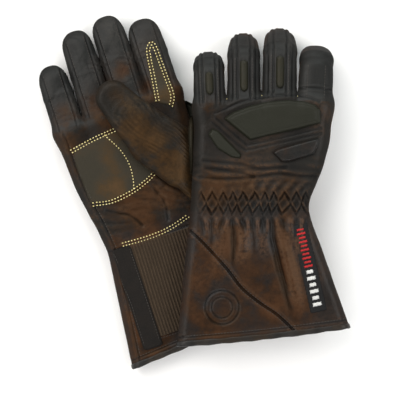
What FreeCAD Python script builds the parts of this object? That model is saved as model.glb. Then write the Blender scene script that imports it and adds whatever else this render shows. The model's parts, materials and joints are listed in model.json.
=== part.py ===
"""A pair of leather motorcycle gauntlet gloves, lying as a pair on a table.

Units are millimetres. +Z is up and +Y is towards the fingertips. The right-hand glove lies palm up,
turned a little, and the left-hand glove lies palm down beside it with its cuff on the other cuff.

Each glove is drawn in its own frame: +Y to the fingertips, +Z out of the back of the hand, the palm
at -Z, and the thumb at +X on the left-hand glove and at -X on the right-hand one. The right-hand
glove is then turned over. Every part of the hand is a flat tube of leather: four strips that meet at
seams, as the front, the back and the two side walls of a real glove finger do.
"""

import FreeCAD, Part
import Sketcher
import math
import os
import re

VECTOR = FreeCAD.Vector
AXIS_X = VECTOR(1, 0, 0)
AXIS_Y = VECTOR(0, 1, 0)
AXIS_Z = VECTOR(0, 0, 1)
ORIGIN = VECTOR(0, 0, 0)

GLOVES = ("right", "left")
FINGERS = ("little", "ring", "middle", "index")
PADDED_FINGERS = ("little", "ring", "middle")
# The sign of X on the thumb's side, in each glove's own frame.
THUMB_SIDE = {"right": -1, "left": 1}

# ---------------------------------------------------------------- driving dimensions

SIZES = {
    "leather": (1.8, "outer leather, with its foam backing"),
    "lining": (1.0, "knitted lining"),
    "ply_gap": (1.0, "space between leather and lining"),
    "seam": (0.1, "width of a sewn seam"),
    "joint_gap": (0.4, "clearance at a hinge line"),
    "hand_thick": (26, "hand, palm to back"),
    "hand_round": (9, "radius of the hand's long edges"),
    "hand_reach": (124, "wrist to past the knuckle line"),
    "wrist_half": (52, "half width at the wrist"),
    "knuckle_half": (62.8, "half width at the knuckles"),
    "cuff_thick": (20, "cuff, palm side to back"),
    "cuff_round": (7, "radius of the cuff's long edges"),
    "cuff_start": (1.5, "cuff's first edge, below the wrist line"),
    "hem_outer_x": (63, "little-finger side of the hem from the glove's axis"),
    "hem_outer_y": (127, "little-finger side of the hem below the wrist"),
    "hem_inner_x": (94, "thumb side of the hem from the glove's axis"),
    "hem_inner_y": (110, "thumb side of the hem below the wrist"),
    "binding": (1.2, "hem binding thickness"),
    "binding_width": (8, "hem binding width"),
    "finger_width": (29.6, "finger, side to side"),
    "finger_thick": (20, "finger, palm to back"),
    "finger_round": (7, "radius of a finger's long edges"),
    "tip_round": (8, "radius of a fingertip"),
    "axis_drop": (4, "finger hinge axes below the mid plane, towards the palm"),
    "knuckle_flex": (40, "half notch angle at a knuckle, palm side"),
    "knuckle_back": (9, "half notch angle at a knuckle, back side"),
    "middle_flex": (45, "half notch angle at a middle joint, palm side"),
    "middle_back": (2, "half notch angle at a middle joint, back side"),
    "guard_height": (5, "knuckle guard"),
    "guard_edge": (1.6, "rounding of the guard's pads"),
    "finger_pad_width": (9, "pad on a finger's back"),
    "finger_pad_height": (3, "pad on a finger's back"),
    "patch": (1.2, "palm reinforcement patch"),
    "elastic": (0.8, "wrist elastic thickness"),
    "elastic_width": (16, "wrist elastic width"),
    "elastic_half": (40, "wrist elastic half length"),
    "flap": (1.6, "closure flap thickness"),
    "flap_hinge_x": (47, "closure flap's sewn edge from the glove's axis"),
    "flap_width": (20, "closure flap width"),
    "flap_top": (17, "closure flap's top end below the wrist"),
    "flap_bottom": (115, "closure flap's bottom end below the wrist"),
    "hook": (0.8, "hook tape thickness"),
    "hook_width": (11, "hook tape width"),
    "rib_outer_x": (42, "ribbed panel, little-finger side from the axis"),
    "rib_inner_x": (36, "ribbed panel, thumb side from the axis"),
    "rib_top": (18, "ribbed panel's top edge below the wrist"),
    "rib_bottom": (108, "ribbed panel's bottom edge below the wrist"),
    "slant_top": (19, "slanting cuff seam's top end below the wrist"),
    "slant_low": (38, "slanting cuff seam's lower end from the glove's axis"),
    "label": (0.6, "woven label thickness"),
    "label_width": (13, "woven label width"),
    "label_length": (80, "woven label length"),
    "label_x": (55, "woven label's middle from the glove's axis"),
    "label_y": (55, "woven label's middle below the wrist"),
    "label_turn": (12.9, "woven label's lean, degrees"),
    "thumb_thick": (15, "thumb, folded flat"),
    "thumb_round": (6, "radius of the thumb's edges"),
    "right_turn": (18, "right-hand glove's turn about Z, degrees"),
    "left_turn": (0, "left-hand glove's turn about Z, degrees"),
    "right_x": (-35.45, "right-hand wrist centre"),
    "right_y": (-24.1, "right-hand wrist centre"),
    "right_z": (18, "right-hand mid plane above the table"),
    "left_x": (50.45, "left-hand wrist centre"),
    "left_y": (-14.3, "left-hand wrist centre"),
    "left_z": (47.5, "left-hand mid plane above the table"),
    "right_lean": (-3, "sideways offset of the right hand's knuckles"),
    "left_lean": (14, "sideways offset of the left hand's knuckles"),
    "right_sag": (3, "right cuff's slope to the table, degrees"),
    "left_sag": (4, "left cuff's slope to the other cuff, degrees"),
    "right_thumb_x": (40, "thumb fold, middle"),
    "right_thumb_y": (46, "thumb fold, middle"),
    "right_thumb_turn": (-14, "thumb fold's direction from Y, degrees"),
    "right_thumb_droop": (0, "thumb's slope away from the palm, degrees"),
    "left_thumb_x": (51, "thumb fold, middle"),
    "left_thumb_y": (42, "thumb fold, middle"),
    "left_thumb_turn": (12, "thumb fold's direction from Y, degrees"),
    "left_thumb_droop": (9, "thumb's slope away from the palm, degrees"),
}
# Each finger: hinge line from the wrist, lengths of its two segments, centre from the hand's axis.
FINGER_SIZES = {
    "little": {"right_root": 111, "left_root": 101, "near": 24, "far": 29, "across": -47.1},
    "ring": {"right_root": 114, "left_root": 104, "near": 32, "far": 42, "across": -15.7},
    "middle": {"right_root": 117, "left_root": 107, "near": 33, "far": 42, "across": 15.7},
    "index": {"right_root": 117, "left_root": 103, "near": 28, "far": 34, "across": 47.1},
}
# How each finger rests, in degrees: sideways fan, bend at the knuckle, bend at the middle joint.
FINGER_RESTS = {
    "right": {"little": (0, -6, 0), "ring": (0, -6, 0), "middle": (0, -6, 0), "index": (0, -6, 0)},
    "left": {"little": (-2, 10, 60), "ring": (0, 10, 53), "middle": (1, 10, 52), "index": (3, 10, 62)},
}

doc = FreeCAD.newDocument("riding_gloves")
sheet = doc.addObject("Spreadsheet::Sheet", "Sizes")
numbers = {}


def write_sizes():
    """Fills the sheet: a note, the value and its alias in each row."""
    rows = [(alias, value, note) for alias, (value, note) in SIZES.items()]
    for finger, sizes in FINGER_SIZES.items():
        rows += [(f"{finger}_{key}", value, f"{finger} finger, {key}") for key, value in sizes.items()]
    for glove, rests in FINGER_RESTS.items():
        for finger, angles in rests.items():
            for key, value in zip(("fan", "bend", "curl"), angles):
                rows.append((f"{glove}_{finger}_{key}", value, f"{glove} {finger}, {key} at rest"))
    for row, (alias, value, note) in enumerate(rows, 1):
        sheet.set(f"A{row}", note)
        sheet.set(f"B{row}", str(value))
        sheet.setAlias(f"B{row}", alias)
        numbers[alias] = float(value)
    doc.recompute()


write_sizes()

# ---------------------------------------------------------------- expressions and sketches

FUNCTIONS = {"tan": lambda a: math.tan(math.radians(a)), "cos": lambda a: math.cos(math.radians(a))}


def value(expression):
    """Works out a size expression: + - * / ( ), aliases, numbers, tan and cos of degrees."""
    tokens = re.findall(r"[A-Za-z_]+|\d+\.?\d*|[-+*/()]", str(expression))

    def factor():
        token = tokens.pop(0)
        if token == "-":
            return -factor()
        if token == "(":
            inside = total()
            tokens.pop(0)
            return inside
        if token in FUNCTIONS:
            tokens.pop(0)
            inside = total()
            tokens.pop(0)
            return FUNCTIONS[token](inside)
        return numbers[token] if token in numbers else float(token)

    def product():
        result = factor()
        while tokens and tokens[0] in "*/":
            result = result * factor() if tokens.pop(0) == "*" else result / factor()
        return result

    def total():
        result = product()
        while tokens and tokens[0] in "+-":
            result = result + product() if tokens.pop(0) == "+" else result - product()
        return result

    return float(total())


def bound(expression):
    """The same expression as the document writes it, with the sheet's name before each alias."""
    return re.sub(
        r"[A-Za-z_]+",
        lambda m: m[0] if m[0] in FUNCTIONS else f"Sizes.{m[0]}",
        re.sub(r"(tan|cos)\(([^()]*)\)", r"\1((\2) * 1deg_)", str(expression)),
    ).replace("1Sizes.deg_", "1 deg")


def sketch(body, plane, outlines, name="outline"):
    """A sketch of closed outlines, each a list of (x, y) size expressions, every corner constrained."""
    made = body.newObject("Sketcher::SketchObject", name)
    origin_plane = [o for o in body.Origin.OriginFeatures if o.Role == plane][0]
    made.AttachmentSupport = [(origin_plane, "")]
    made.MapMode = "FlatFace"
    for outline in outlines:
        first = made.GeometryCount
        places = [VECTOR(value(x), value(y), 0) for x, y in outline]
        count = len(places)
        for i in range(count):
            made.addGeometry(Part.LineSegment(places[i], places[(i + 1) % count]), False)
        for i in range(count):
            joined = first + (i + 1) % count
            made.addConstraint(Sketcher.Constraint("Coincident", first + i, 2, joined, 1))
        for i, (x, y) in enumerate(outline):
            for kind, expression, at in (("DistanceX", x, places[i].x), ("DistanceY", y, places[i].y)):
                number = made.addConstraint(Sketcher.Constraint(kind, -1, 1, first + i, 1, at))
                made.setExpression(f"Constraints[{number}]", bound(expression))
    return made


def new_body(name):
    """A PartDesign body whose seams may leave it in several solids."""
    body = doc.addObject("PartDesign::Body", name)
    body.Label = name
    body.AllowCompound = True
    return body


def pad(body, profile, length, side="One side"):
    """Extrudes a sketch by a size expression."""
    feature = body.newObject("PartDesign::Pad", "pad")
    feature.Profile = profile
    feature.SideType = side
    feature.setExpression("Length", bound(length))
    doc.recompute()
    return feature


def edges_where(shape, wanted):
    return [f"Edge{i}" for i, edge in enumerate(shape.Edges, 1) if wanted(edge)]


def faces_where(shape, wanted):
    return [f"Face{i}" for i, face in enumerate(shape.Faces, 1) if wanted(face)]


def fillet(body, radius, wanted):
    """Rounds the edges that wanted(edge) picks on the body's last feature."""
    base = body.Tip
    feature = body.newObject("PartDesign::Fillet", "round")
    feature.Base = (base, edges_where(base.Shape, wanted))
    feature.setExpression("Radius", bound(radius))
    doc.recompute()
    return feature


def hollow(body, wall, open_face):
    """Turns the body into a shell of that wall, inwards, open at the faces that open_face picks."""
    base = body.Tip
    feature = body.newObject("PartDesign::Thickness", "shell")
    feature.Base = (base, faces_where(base.Shape, open_face))
    feature.Reversed = True
    feature.setExpression("Value", bound(wall))
    doc.recompute()
    return feature


def runs_along(edge, direction, share=0.9):
    """True if a straight edge runs mostly along a direction."""
    if not isinstance(edge.Curve, Part.Line):
        return False
    return abs(edge.tangentAt(edge.FirstParameter).dot(direction)) > share


def upright(edge):
    return runs_along(edge, AXIS_Z)


# ---------------------------------------------------------------- frames

def move(x=0, y=0, z=0):
    return FreeCAD.Placement(VECTOR(x, y, z), FreeCAD.Rotation())


def turn(axis, degrees):
    return FreeCAD.Placement(ORIGIN, FreeCAD.Rotation(axis, degrees))


def glove_frame(glove):
    """The glove's own frame on the table. The right-hand one is turned over, palm up."""
    at = move(*(numbers[f"{glove}_{axis}"] for axis in "xyz"))
    flat = at * turn(AXIS_Z, numbers[f"{glove}_turn"])
    return flat * turn(AXIS_Y, 180) if glove == "right" else flat


def cuff_frame(glove):
    """The cuff slopes down from the wrist, about the wrist line."""
    return glove_frame(glove) * turn(AXIS_X, THUMB_SIDE[glove] * numbers[f"{glove}_sag"])


def knuckle_frame(glove, finger, bent=True):
    """Origin on the knuckle's hinge axis, +Y along the finger, and the hinge axis along X."""
    side = THUMB_SIDE[glove]
    root = numbers[f"{finger}_{glove}_root"]
    lean = numbers[f"{glove}_lean"] * root / numbers["hand_reach"]
    at = move(side * (numbers[f"{finger}_across"] + lean), root, -numbers["axis_drop"])
    fan = turn(AXIS_Z, -side * numbers[f"{glove}_{finger}_fan"])
    bend = turn(AXIS_X, -numbers[f"{glove}_{finger}_bend"] if bent else 0)
    return glove_frame(glove) * at * fan * bend


def middle_joint_frame(glove, finger):
    """Origin on the finger's middle hinge axis, +Y along the fingertip segment."""
    out = move(0, numbers[f"{finger}_near"], 0)
    curl = turn(AXIS_X, -numbers[f"{glove}_{finger}_curl"])
    return knuckle_frame(glove, finger) * out * curl


def thumb_frame(glove):
    """Origin on the thumb's fold line, which is its Y axis, in the middle of the thumb's thickness."""
    side = THUMB_SIDE[glove]
    height = numbers["hand_thick"] / 2 + numbers["patch"] + numbers["thumb_thick"] / 2 + 0.4
    at = move(side * numbers[f"{glove}_thumb_x"], numbers[f"{glove}_thumb_y"], -height)
    about = turn(AXIS_Z, side * numbers[f"{glove}_thumb_turn"])
    droop = turn(AXIS_Y, -side * numbers[f"{glove}_thumb_droop"])
    return glove_frame(glove) * at * about * droop


def flap_frame(glove):
    """Origin on the closure flap's sewn edge, which is its Y axis."""
    side = THUMB_SIDE[glove]
    height = numbers["cuff_thick"] / 2 + numbers["hook"] + numbers["flap"] / 2
    return cuff_frame(glove) * move(-side * numbers["flap_hinge_x"], 0, -height)


# ---------------------------------------------------------------- booleans

def boolean(kind, name, base, tool):
    """A Part::Cut or Part::Common of two objects."""
    made = doc.addObject(f"Part::{kind}", name)
    made.Label = name
    made.Base = base
    made.Tool = tool
    doc.recompute()
    return made


def group(name, members):
    """One node of several solids."""
    made = doc.addObject("Part::Compound", name)
    made.Label = name
    made.Links = members
    doc.recompute()
    return made


# ---------------------------------------------------------------- outlines

def leaning(glove, points):
    """Hand outline points as expressions: mirrored for the glove and sheared by the hand's lean."""
    side = THUMB_SIDE[glove]
    return [(f"{side} * ({x} + {glove}_lean * ({y}) / hand_reach)", f"{y}") for x, y in points]


def hand_half_width(y):
    """Half the hand's width at a distance from the wrist, as an expression."""
    return f"(wrist_half + (knuckle_half - wrist_half) * ({y}) / hand_reach)"


def hand_outline(glove, inset="0", overshoot="0"):
    """The hand in plan, from the wrist to past the knuckles, its long sides moved in by inset."""
    low, high = f"(0 - ({overshoot}))", f"(hand_reach + ({overshoot}))"
    return leaning(
        glove,
        [
            (f"(0 - ({hand_half_width(low)} - ({inset})))", low),
            (f"({hand_half_width(low)} - ({inset}))", low),
            (f"({hand_half_width(high)} - ({inset}))", high),
            (f"(0 - ({hand_half_width(high)} - ({inset})))", high),
        ],
    )


def cuff_outline(glove, inset="0"):
    """The cuff in plan, its sides moved in by inset. The hem slants."""
    side = THUMB_SIDE[glove]
    points = [
        (f"(0 - (wrist_half - ({inset})))", "0 - cuff_start"),
        (f"(0 - (hem_outer_x - ({inset})))", "0 - hem_outer_y"),
        (f"(hem_inner_x - ({inset}))", "0 - hem_inner_y"),
        (f"(wrist_half - ({inset}))", "0 - cuff_start"),
    ]
    return [(f"{side} * {x}", y) for x, y in points]


def mirrored(glove, points):
    side = THUMB_SIDE[glove]
    return [(f"{side} * ({x})", f"{y}") for x, y in points]


# ---------------------------------------------------------------- flat tubes

def is_side_edge(edge):
    """A long edge of a flat tube: level, and mostly along Y."""
    return runs_along(edge, AXIS_Y, 0.85)


def is_end_face(face):
    """An end of a flat tube: flat, and facing mostly along Y."""
    if not isinstance(face.Surface, Part.Plane):
        return False
    return abs(face.normalAt(0, 0).dot(AXIS_Y)) > 0.85


def flat_tube(name, outline, thick, radius, wall, frame):
    """A flat tube with rounded long edges, open at both ends."""
    body = new_body(name)
    pad(body, sketch(body, "XY_Plane", [outline]), thick, "Symmetric")
    fillet(body, radius, is_side_edge)
    if wall:
        hollow(body, wall, is_end_face)
    body.Placement = frame
    return body


def zone(name, outline, above, frame):
    """A tall block over or under the mid plane, used to pick one panel of a tube."""
    body = new_body(name)
    feature = pad(body, sketch(body, "XY_Plane", [outline]), "hand_thick")
    if not above:
        feature.Reversed = True
    doc.recompute()
    body.Placement = frame
    return body


def side_zone(name, outline, frame):
    """A block through the mid plane, used to pick a side strip."""
    body = new_body(name)
    pad(body, sketch(body, "XY_Plane", [outline]), "2 * hand_thick", "Symmetric")
    body.Placement = frame
    return body


# A side seam lies where the rounded edge has turned 45 degrees.
SEAM_INSET = {"hand": "0.29 * hand_round", "cuff": "0.29 * cuff_round"}
FAR_OUT = 130


def strips_of(glove, which, outline_of, shell, frame):
    """The two side strips of a tube, little-finger side first."""
    inner = outline_of(SEAM_INSET[which])
    side = THUMB_SIDE[glove]
    ys = sorted(range(4), key=lambda i: value(inner[i][1]))
    found = []
    for sign, name in ((-side, "outer"), (side, "inner")):
        ends = [i for i in ys if value(inner[i][0]) * sign > 0]
        low, high = inner[ends[0]], inner[ends[1]]
        outline = [low, high, (f"{sign * FAR_OUT}", high[1]), (f"{sign * FAR_OUT}", low[1])]
        picked = side_zone(f"{glove}_{which}_{name}_zone", outline, frame)
        found.append(boolean("Common", f"{glove}_{which}_{name}_strip", shell, picked))
    return found


# ---------------------------------------------------------------- the hand

def knuckle_relief(glove, finger):
    """What a finger's hinge clears at the end of the hand: a wedge on each side of the axis."""
    body = new_body(f"{glove}_{finger}_relief")
    reach = "hand_thick"
    profile = [
        ("0 - joint_gap / 2", "0"),
        (f"0 - joint_gap / 2 - {reach} * tan(knuckle_back)", reach),
        (f"2 * {reach}", reach),
        (f"2 * {reach}", f"0 - {reach}"),
        (f"0 - joint_gap / 2 - {reach} * tan(knuckle_flex)", f"0 - {reach}"),
    ]
    pad(body, sketch(body, "YZ_Plane", [profile]), "finger_width + 6", "Symmetric")
    body.Placement = knuckle_frame(glove, finger, bent=False)
    return body


def clear_knuckles(glove, name, tube, reliefs):
    """Cuts the four hinge reliefs out of a tube of the hand."""
    for finger, relief in zip(FINGERS, reliefs):
        tube = boolean("Cut", f"{name}_{finger}", tube, relief)
    return tube


def hand_parts(glove):
    """Palm and back panels, side strips and lining of the hand."""
    frame = glove_frame(glove)
    reliefs = [knuckle_relief(glove, finger) for finger in FINGERS]
    tube = flat_tube(
        f"{glove}_hand_tube", hand_outline(glove), "hand_thick", "hand_round", "leather", frame
    )
    shell = clear_knuckles(glove, f"{glove}_hand_shell", tube, reliefs)
    panel_outline = hand_outline(glove, SEAM_INSET["hand"], "5")
    over = zone(f"{glove}_back_zone", panel_outline, True, frame)
    under = zone(f"{glove}_palm_zone", panel_outline, False, frame)
    back = boolean("Common", f"{glove}_back_panel", shell, over)
    palm = boolean("Common", f"{glove}_palm_panel", shell, under)
    strips = strips_of(
        glove, "hand", lambda inset: hand_outline(glove, inset, "5"), shell, frame
    )
    inset = "(leather + ply_gap)"
    lining_tube = flat_tube(
        f"{glove}_hand_lining_tube",
        hand_outline(glove, inset),
        f"hand_thick - 2 * {inset}",
        f"hand_round - {inset}",
        "lining",
        frame,
    )
    lining = clear_knuckles(glove, f"{glove}_hand_lining", lining_tube, reliefs)
    return back, palm, strips, lining


def wrist_elastic(glove):
    """The elastic tape that gathers the back of the wrist, between leather and lining."""
    body = new_body(f"{glove}_wrist_elastic")
    corners = [("0 - elastic_half", "2"), ("elastic_half", "2")]
    corners += [("elastic_half", "2 + elastic_width"), ("0 - elastic_half", "2 + elastic_width")]
    pad(body, sketch(body, "XY_Plane", [corners]), "elastic")
    top = numbers["hand_thick"] / 2 - numbers["leather"] - 0.1
    body.Placement = glove_frame(glove) * move(0, 0, top - numbers["elastic"])
    return body


# ---------------------------------------------------------------- pads and patches

# Outlines on the hand, across and along, before the hand's lean. They are in millimetres.
GUARD_MAIN = [(-32, 77), (-27, 86), (-14, 92), (4, 95), (26, 95), (44, 92), (50, 85), (50, 74), (-5, 59)]
GUARD_OUTER = [(-42, 64), (-38, 71), (-11, 50), (-12, 42), (-20, 42)]
GUARD_INNER = [(15, 51), (46, 60), (47, 48), (30, 39), (18, 42)]
PALM_PATCH = [(-46, 30), (-33, 26), (-14, 28), (3, 34), (20, 43), (20, 82), (-7, 88), (-46, 81)]


def hand_pad(glove, name, outlines, height, back, rounding=None):
    """Raised pieces on the flat of the back or of the palm."""
    body = new_body(name)
    drawn = [leaning(glove, points) for points in outlines]
    pad(body, sketch(body, "XY_Plane", drawn), height)
    if rounding:
        top = numbers[height]
        fillet(body, rounding, lambda e: abs(e.CenterOfMass.z - top) < 1e-6)
    surface = numbers["hand_thick"] / 2
    flip = move(0, 0, surface) if back else move(0, 0, -surface - numbers[height])
    body.Placement = glove_frame(glove) * flip
    return body


def knuckle_guard(glove):
    return hand_pad(glove, f"{glove}_knuckle_guard", [GUARD_MAIN], "guard_height", True, "guard_edge")


def guard_side_pads(glove):
    outlines = [GUARD_OUTER, GUARD_INNER]
    return hand_pad(glove, f"{glove}_guard_side_pads", outlines, "guard_height", True, "guard_edge")


def palm_patch(glove):
    return hand_pad(glove, f"{glove}_palm_patch", [PALM_PATCH], "patch", False)


# ---------------------------------------------------------------- fingers

def segment_profile(length, near_angles, far_angles):
    """A finger segment from the side, from its near hinge axis at the origin, wedge-ended."""
    bottom = "(finger_thick / 2 - axis_drop)"
    top = "(finger_thick / 2 + axis_drop)"
    flex, back = near_angles
    profile = [
        (f"joint_gap / 2 + {bottom} * tan({flex})", f"0 - {bottom}"),
        ("joint_gap / 2", "0"),
        (f"joint_gap / 2 + {top} * tan({back})", top),
    ]
    if far_angles is None:
        return profile + [(length, top), (length, f"0 - {bottom}")]
    flex, back = far_angles
    return profile + [
        (f"{length} - joint_gap / 2 - {top} * tan({back})", top),
        (f"{length} - joint_gap / 2", "0"),
        (f"{length} - joint_gap / 2 - {bottom} * tan({flex})", f"0 - {bottom}"),
    ]


def corner_seams():
    """Four thin slots, one through each rounded corner of a finger, seen along the finger."""
    slots = []
    for across in (1, -1):
        for up, level in ((1, "finger_thick / 2 + axis_drop"), (-1, "finger_thick / 2 - axis_drop")):
            x = f"{across} * (finger_width / 2 - finger_round"
            z = f"{up} * ({level} - finger_round"
            half = "0.35 * seam"
            slots.append(
                [
                    (f"{x} + {half})", f"{z} - {half})"),
                    (f"{x} + finger_round + {half})", f"{z} + finger_round - {half})"),
                    (f"{x} + finger_round - {half})", f"{z} + finger_round + {half})"),
                    (f"{x} - {half})", f"{z} + {half})"),
                ]
            )
    return slots


KNUCKLE = ("knuckle_flex", "knuckle_back")
MIDDLE = ("middle_flex", "middle_back")


def finger_cavity(name, end, closed, frame):
    """The space inside a finger segment, up to the end."""
    body = new_body(name)
    bottom = "0 - (finger_thick / 2 - axis_drop - leather)"
    top = "finger_thick / 2 + axis_drop - leather"
    profile = [("0 - finger_width", bottom), (end, bottom), (end, top), ("0 - finger_width", top)]
    width = "finger_width - 2 * leather"
    pad(body, sketch(body, "YZ_Plane", [profile]), width, "Symmetric")
    last = numbers["finger_width"] * -1
    fillet(
        body,
        "finger_round - leather",
        lambda e: is_side_edge(e) or closed and e.CenterOfMass.y > last + 1,
    )
    body.Placement = frame
    return body


def seam_blocks(name, cap, frame):
    """Thin blocks that part a finger's leather along its corners, and ahead of its cap."""
    body = new_body(name)
    pad(body, sketch(body, "XZ_Plane", corner_seams(), "seams"), "8 * finger_width", "Symmetric")
    if cap:
        high = "finger_thick"
        ring = [(cap, f"0 - {high}"), (f"{cap} + seam", f"0 - {high}")]
        ring += [(f"{cap} + seam", high), (cap, high)]
        pad(body, sketch(body, "YZ_Plane", [ring], "cap_seam"), "2 * finger_width", "Symmetric")
    body.Placement = frame
    return body


def segment(glove, finger, which, profile, frame):
    """One finger segment: back, palm side and two side walls, and a domed cap on a fingertip."""
    name = f"{glove}_{finger}_{which}"
    length = f"{finger}_{which}"
    closed = which == "far"
    end = numbers[length]
    body = new_body(f"{name}_outside")
    pad(body, sketch(body, "YZ_Plane", [profile]), "finger_width", "Symmetric")
    fillet(
        body,
        "finger_round",
        lambda e: is_side_edge(e) or closed and abs(e.CenterOfMass.y - end) < 1e-6,
    )
    body.Placement = frame
    inside = f"{length} - leather" if closed else f"{length} + finger_width"
    cavity = finger_cavity(f"{name}_inside", inside, closed, frame)
    tube = boolean("Cut", f"{name}_tube", body, cavity)
    cap = f"{length} - tip_round" if closed else None
    seams = seam_blocks(f"{name}_seams", cap, frame)
    return boolean("Cut", f"{glove}_{finger}_tip" if closed else name, tube, seams)


def near_segment(glove, finger):
    """From the knuckle to the middle joint."""
    profile = segment_profile(f"{finger}_near", KNUCKLE, MIDDLE)
    return segment(glove, finger, "near", profile, knuckle_frame(glove, finger))


def tip_segment(glove, finger):
    """From the middle joint to the fingertip."""
    profile = segment_profile(f"{finger}_far", MIDDLE, None)
    return segment(glove, finger, "far", profile, middle_joint_frame(glove, finger))


def finger_pad(glove, finger):
    """The long pad on the back of a finger, over its first segment."""
    body = new_body(f"{glove}_{finger}_pad")
    half, low, high = "finger_pad_width / 2", "4", f"{finger}_near - 3"
    corners = [(f"0 - {half}", low), (half, low), (half, high), (f"0 - {half}", high)]
    pad(body, sketch(body, "XY_Plane", [corners]), "finger_pad_height")
    fillet(body, "0.45 * finger_pad_width", upright)
    top = numbers["finger_pad_height"]
    fillet(body, "0.4 * finger_pad_height", lambda e: abs(e.CenterOfMass.z - top) < 1e-6)
    surface = numbers["finger_thick"] / 2 + numbers["axis_drop"]
    body.Placement = knuckle_frame(glove, finger) * move(0, 0, surface)
    return body


def index_patch(glove):
    """The stitched grip patch on the palm side of the index finger."""
    body = new_body(f"{glove}_index_patch")
    corners = [("0 - 6.5", "7"), ("6.5", "7"), ("6.5", "index_near - 7"), ("0 - 6.5", "index_near - 7")]
    pad(body, sketch(body, "XY_Plane", [corners]), "patch")
    surface = numbers["finger_thick"] / 2 - numbers["axis_drop"] + numbers["patch"]
    body.Placement = knuckle_frame(glove, "index") * move(0, 0, -surface)
    return body


# ---------------------------------------------------------------- thumb

# The folded thumb in plan, from its fold line: away from the fold, and along it.
THUMB_OUTLINE = [(0, -33), (-73, 52), (-73, 66), (-62, 75), (-40, 68), (0, 33)]
THUMB_SIDES_IN = [(0, -28), (-70, 53.5), (-70, 65), (-61, 72), (-40, 65.5), (0, 28)]


def thumb(glove):
    """The thumb as a flat pocket, open at its fold line."""
    body = new_body(f"{glove}_thumb_body")
    pad(body, sketch(body, "XY_Plane", [mirrored(glove, THUMB_OUTLINE)]), "thumb_thick", "Symmetric")
    fillet(body, "thumb_round", lambda e: not upright(e) and abs(e.CenterOfMass.x) > 0.1)
    body.Placement = thumb_frame(glove)
    space = new_body(f"{glove}_thumb_space")
    inner = mirrored(glove, [(x + 0.5, y) if x == 0 else (x, y) for x, y in THUMB_SIDES_IN])
    pad(space, sketch(space, "XY_Plane", [inner]), "thumb_thick - 2 * leather", "Symmetric")
    fillet(space, "thumb_round - leather", lambda e: not upright(e) and abs(e.CenterOfMass.x) > 0.6)
    space.Placement = thumb_frame(glove)
    return boolean("Cut", f"{glove}_thumb", body, space)


# ---------------------------------------------------------------- cuff

def cuff_parts(glove):
    """Back panels either side of a slanting seam, palm panel, ribbed panel, strips and lining."""
    frame = cuff_frame(glove)
    shell = flat_tube(
        f"{glove}_cuff_tube", cuff_outline(glove), "cuff_thick", "cuff_round", "leather", frame
    )
    inset = SEAM_INSET["cuff"]
    outer_low = (f"(0 - (hem_outer_x - ({inset})))", "0 - hem_outer_y")
    outer_high = (f"(0 - (wrist_half - ({inset})))", "0 - cuff_start")
    inner_low = (f"(hem_inner_x - ({inset}))", "0 - hem_inner_y")
    inner_high = (f"(wrist_half - ({inset}))", "0 - cuff_start")
    share = "(0 - slant_top + cuff_start) / (0 - hem_outer_y + cuff_start)"
    edge_at_top = f"(0 - (wrist_half - ({inset})) - (hem_outer_x - wrist_half) * {share})"
    seam_high = (edge_at_top, "0 - slant_top")
    hem_slope = "(hem_outer_y - hem_inner_y) / (hem_inner_x + hem_outer_x)"
    seam_low = ("slant_low", f"0 - hem_outer_y + {hem_slope} * (slant_low + hem_outer_x)")
    outer = mirrored(glove, [outer_low, seam_low, seam_high])
    inner = mirrored(glove, [seam_high, seam_low, inner_low, inner_high, outer_high])
    back_outer = boolean(
        "Common", f"{glove}_cuff_back_outer", shell, zone(f"{glove}_cbo_zone", outer, True, frame)
    )
    back_inner = boolean(
        "Common", f"{glove}_cuff_back_inner", shell, zone(f"{glove}_cbi_zone", inner, True, frame)
    )
    whole = mirrored(glove, [outer_low, inner_low, inner_high, outer_high])
    palm_side = boolean(
        "Common", f"{glove}_cuff_palm_side", shell, zone(f"{glove}_cp_zone", whole, False, frame)
    )
    window = mirrored(
        glove,
        [
            ("0 - rib_outer_x", "0 - rib_bottom"),
            ("rib_inner_x", "0 - rib_bottom"),
            ("rib_inner_x", "0 - rib_top"),
            ("0 - rib_outer_x", "0 - rib_top"),
        ],
    )
    window_zone = zone(f"{glove}_rib_zone", window, False, frame)
    ribbed = boolean("Common", f"{glove}_ribbed_panel", palm_side, window_zone)
    palm = boolean("Cut", f"{glove}_cuff_palm_panel", palm_side, window_zone)
    strips = strips_of(glove, "cuff", lambda i: cuff_outline(glove, i), shell, frame)
    inset = "(leather + ply_gap)"
    lining = flat_tube(
        f"{glove}_cuff_lining",
        cuff_outline(glove, inset),
        f"cuff_thick - 2 * {inset}",
        f"cuff_round - {inset}",
        "lining",
        frame,
    )
    return back_outer, back_inner, palm, ribbed, strips, lining


def hem_binding(glove):
    """A folded strip of leather round the hem, standing a little proud of the cuff."""
    frame = cuff_frame(glove)
    thicker = "cuff_thick + 2 * binding"
    wide = flat_tube(
        f"{glove}_hem_block", cuff_outline(glove, "0 - binding"), thicker, "cuff_round", None, frame
    )
    core = flat_tube(
        f"{glove}_hem_core", cuff_outline(glove), "cuff_thick", "cuff_round", None, frame
    )
    ring = boolean("Cut", f"{glove}_hem_sleeve", wide, core)
    side = THUMB_SIDE[glove]
    band = [
        (f"{side} * (0 - {FAR_OUT})", "0 - 2 * hem_outer_y"),
        (f"{side} * {FAR_OUT}", "0 - 2 * hem_outer_y"),
        (f"{side} * {FAR_OUT}", hem_line(f"{FAR_OUT}")),
        (f"{side} * (0 - {FAR_OUT})", hem_line(f"(0 - {FAR_OUT})")),
    ]
    return boolean(
        "Common", f"{glove}_hem_binding", ring, side_zone(f"{glove}_hem_zone", band, frame)
    )


def hem_line(x):
    """The binding's upper edge at a distance across: a binding width above the slanting hem."""
    slope = "(hem_outer_y - hem_inner_y) / (hem_outer_x + hem_inner_x)"
    return f"0 - hem_outer_y + binding_width + {slope} * ({x} + hem_outer_x)"


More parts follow.
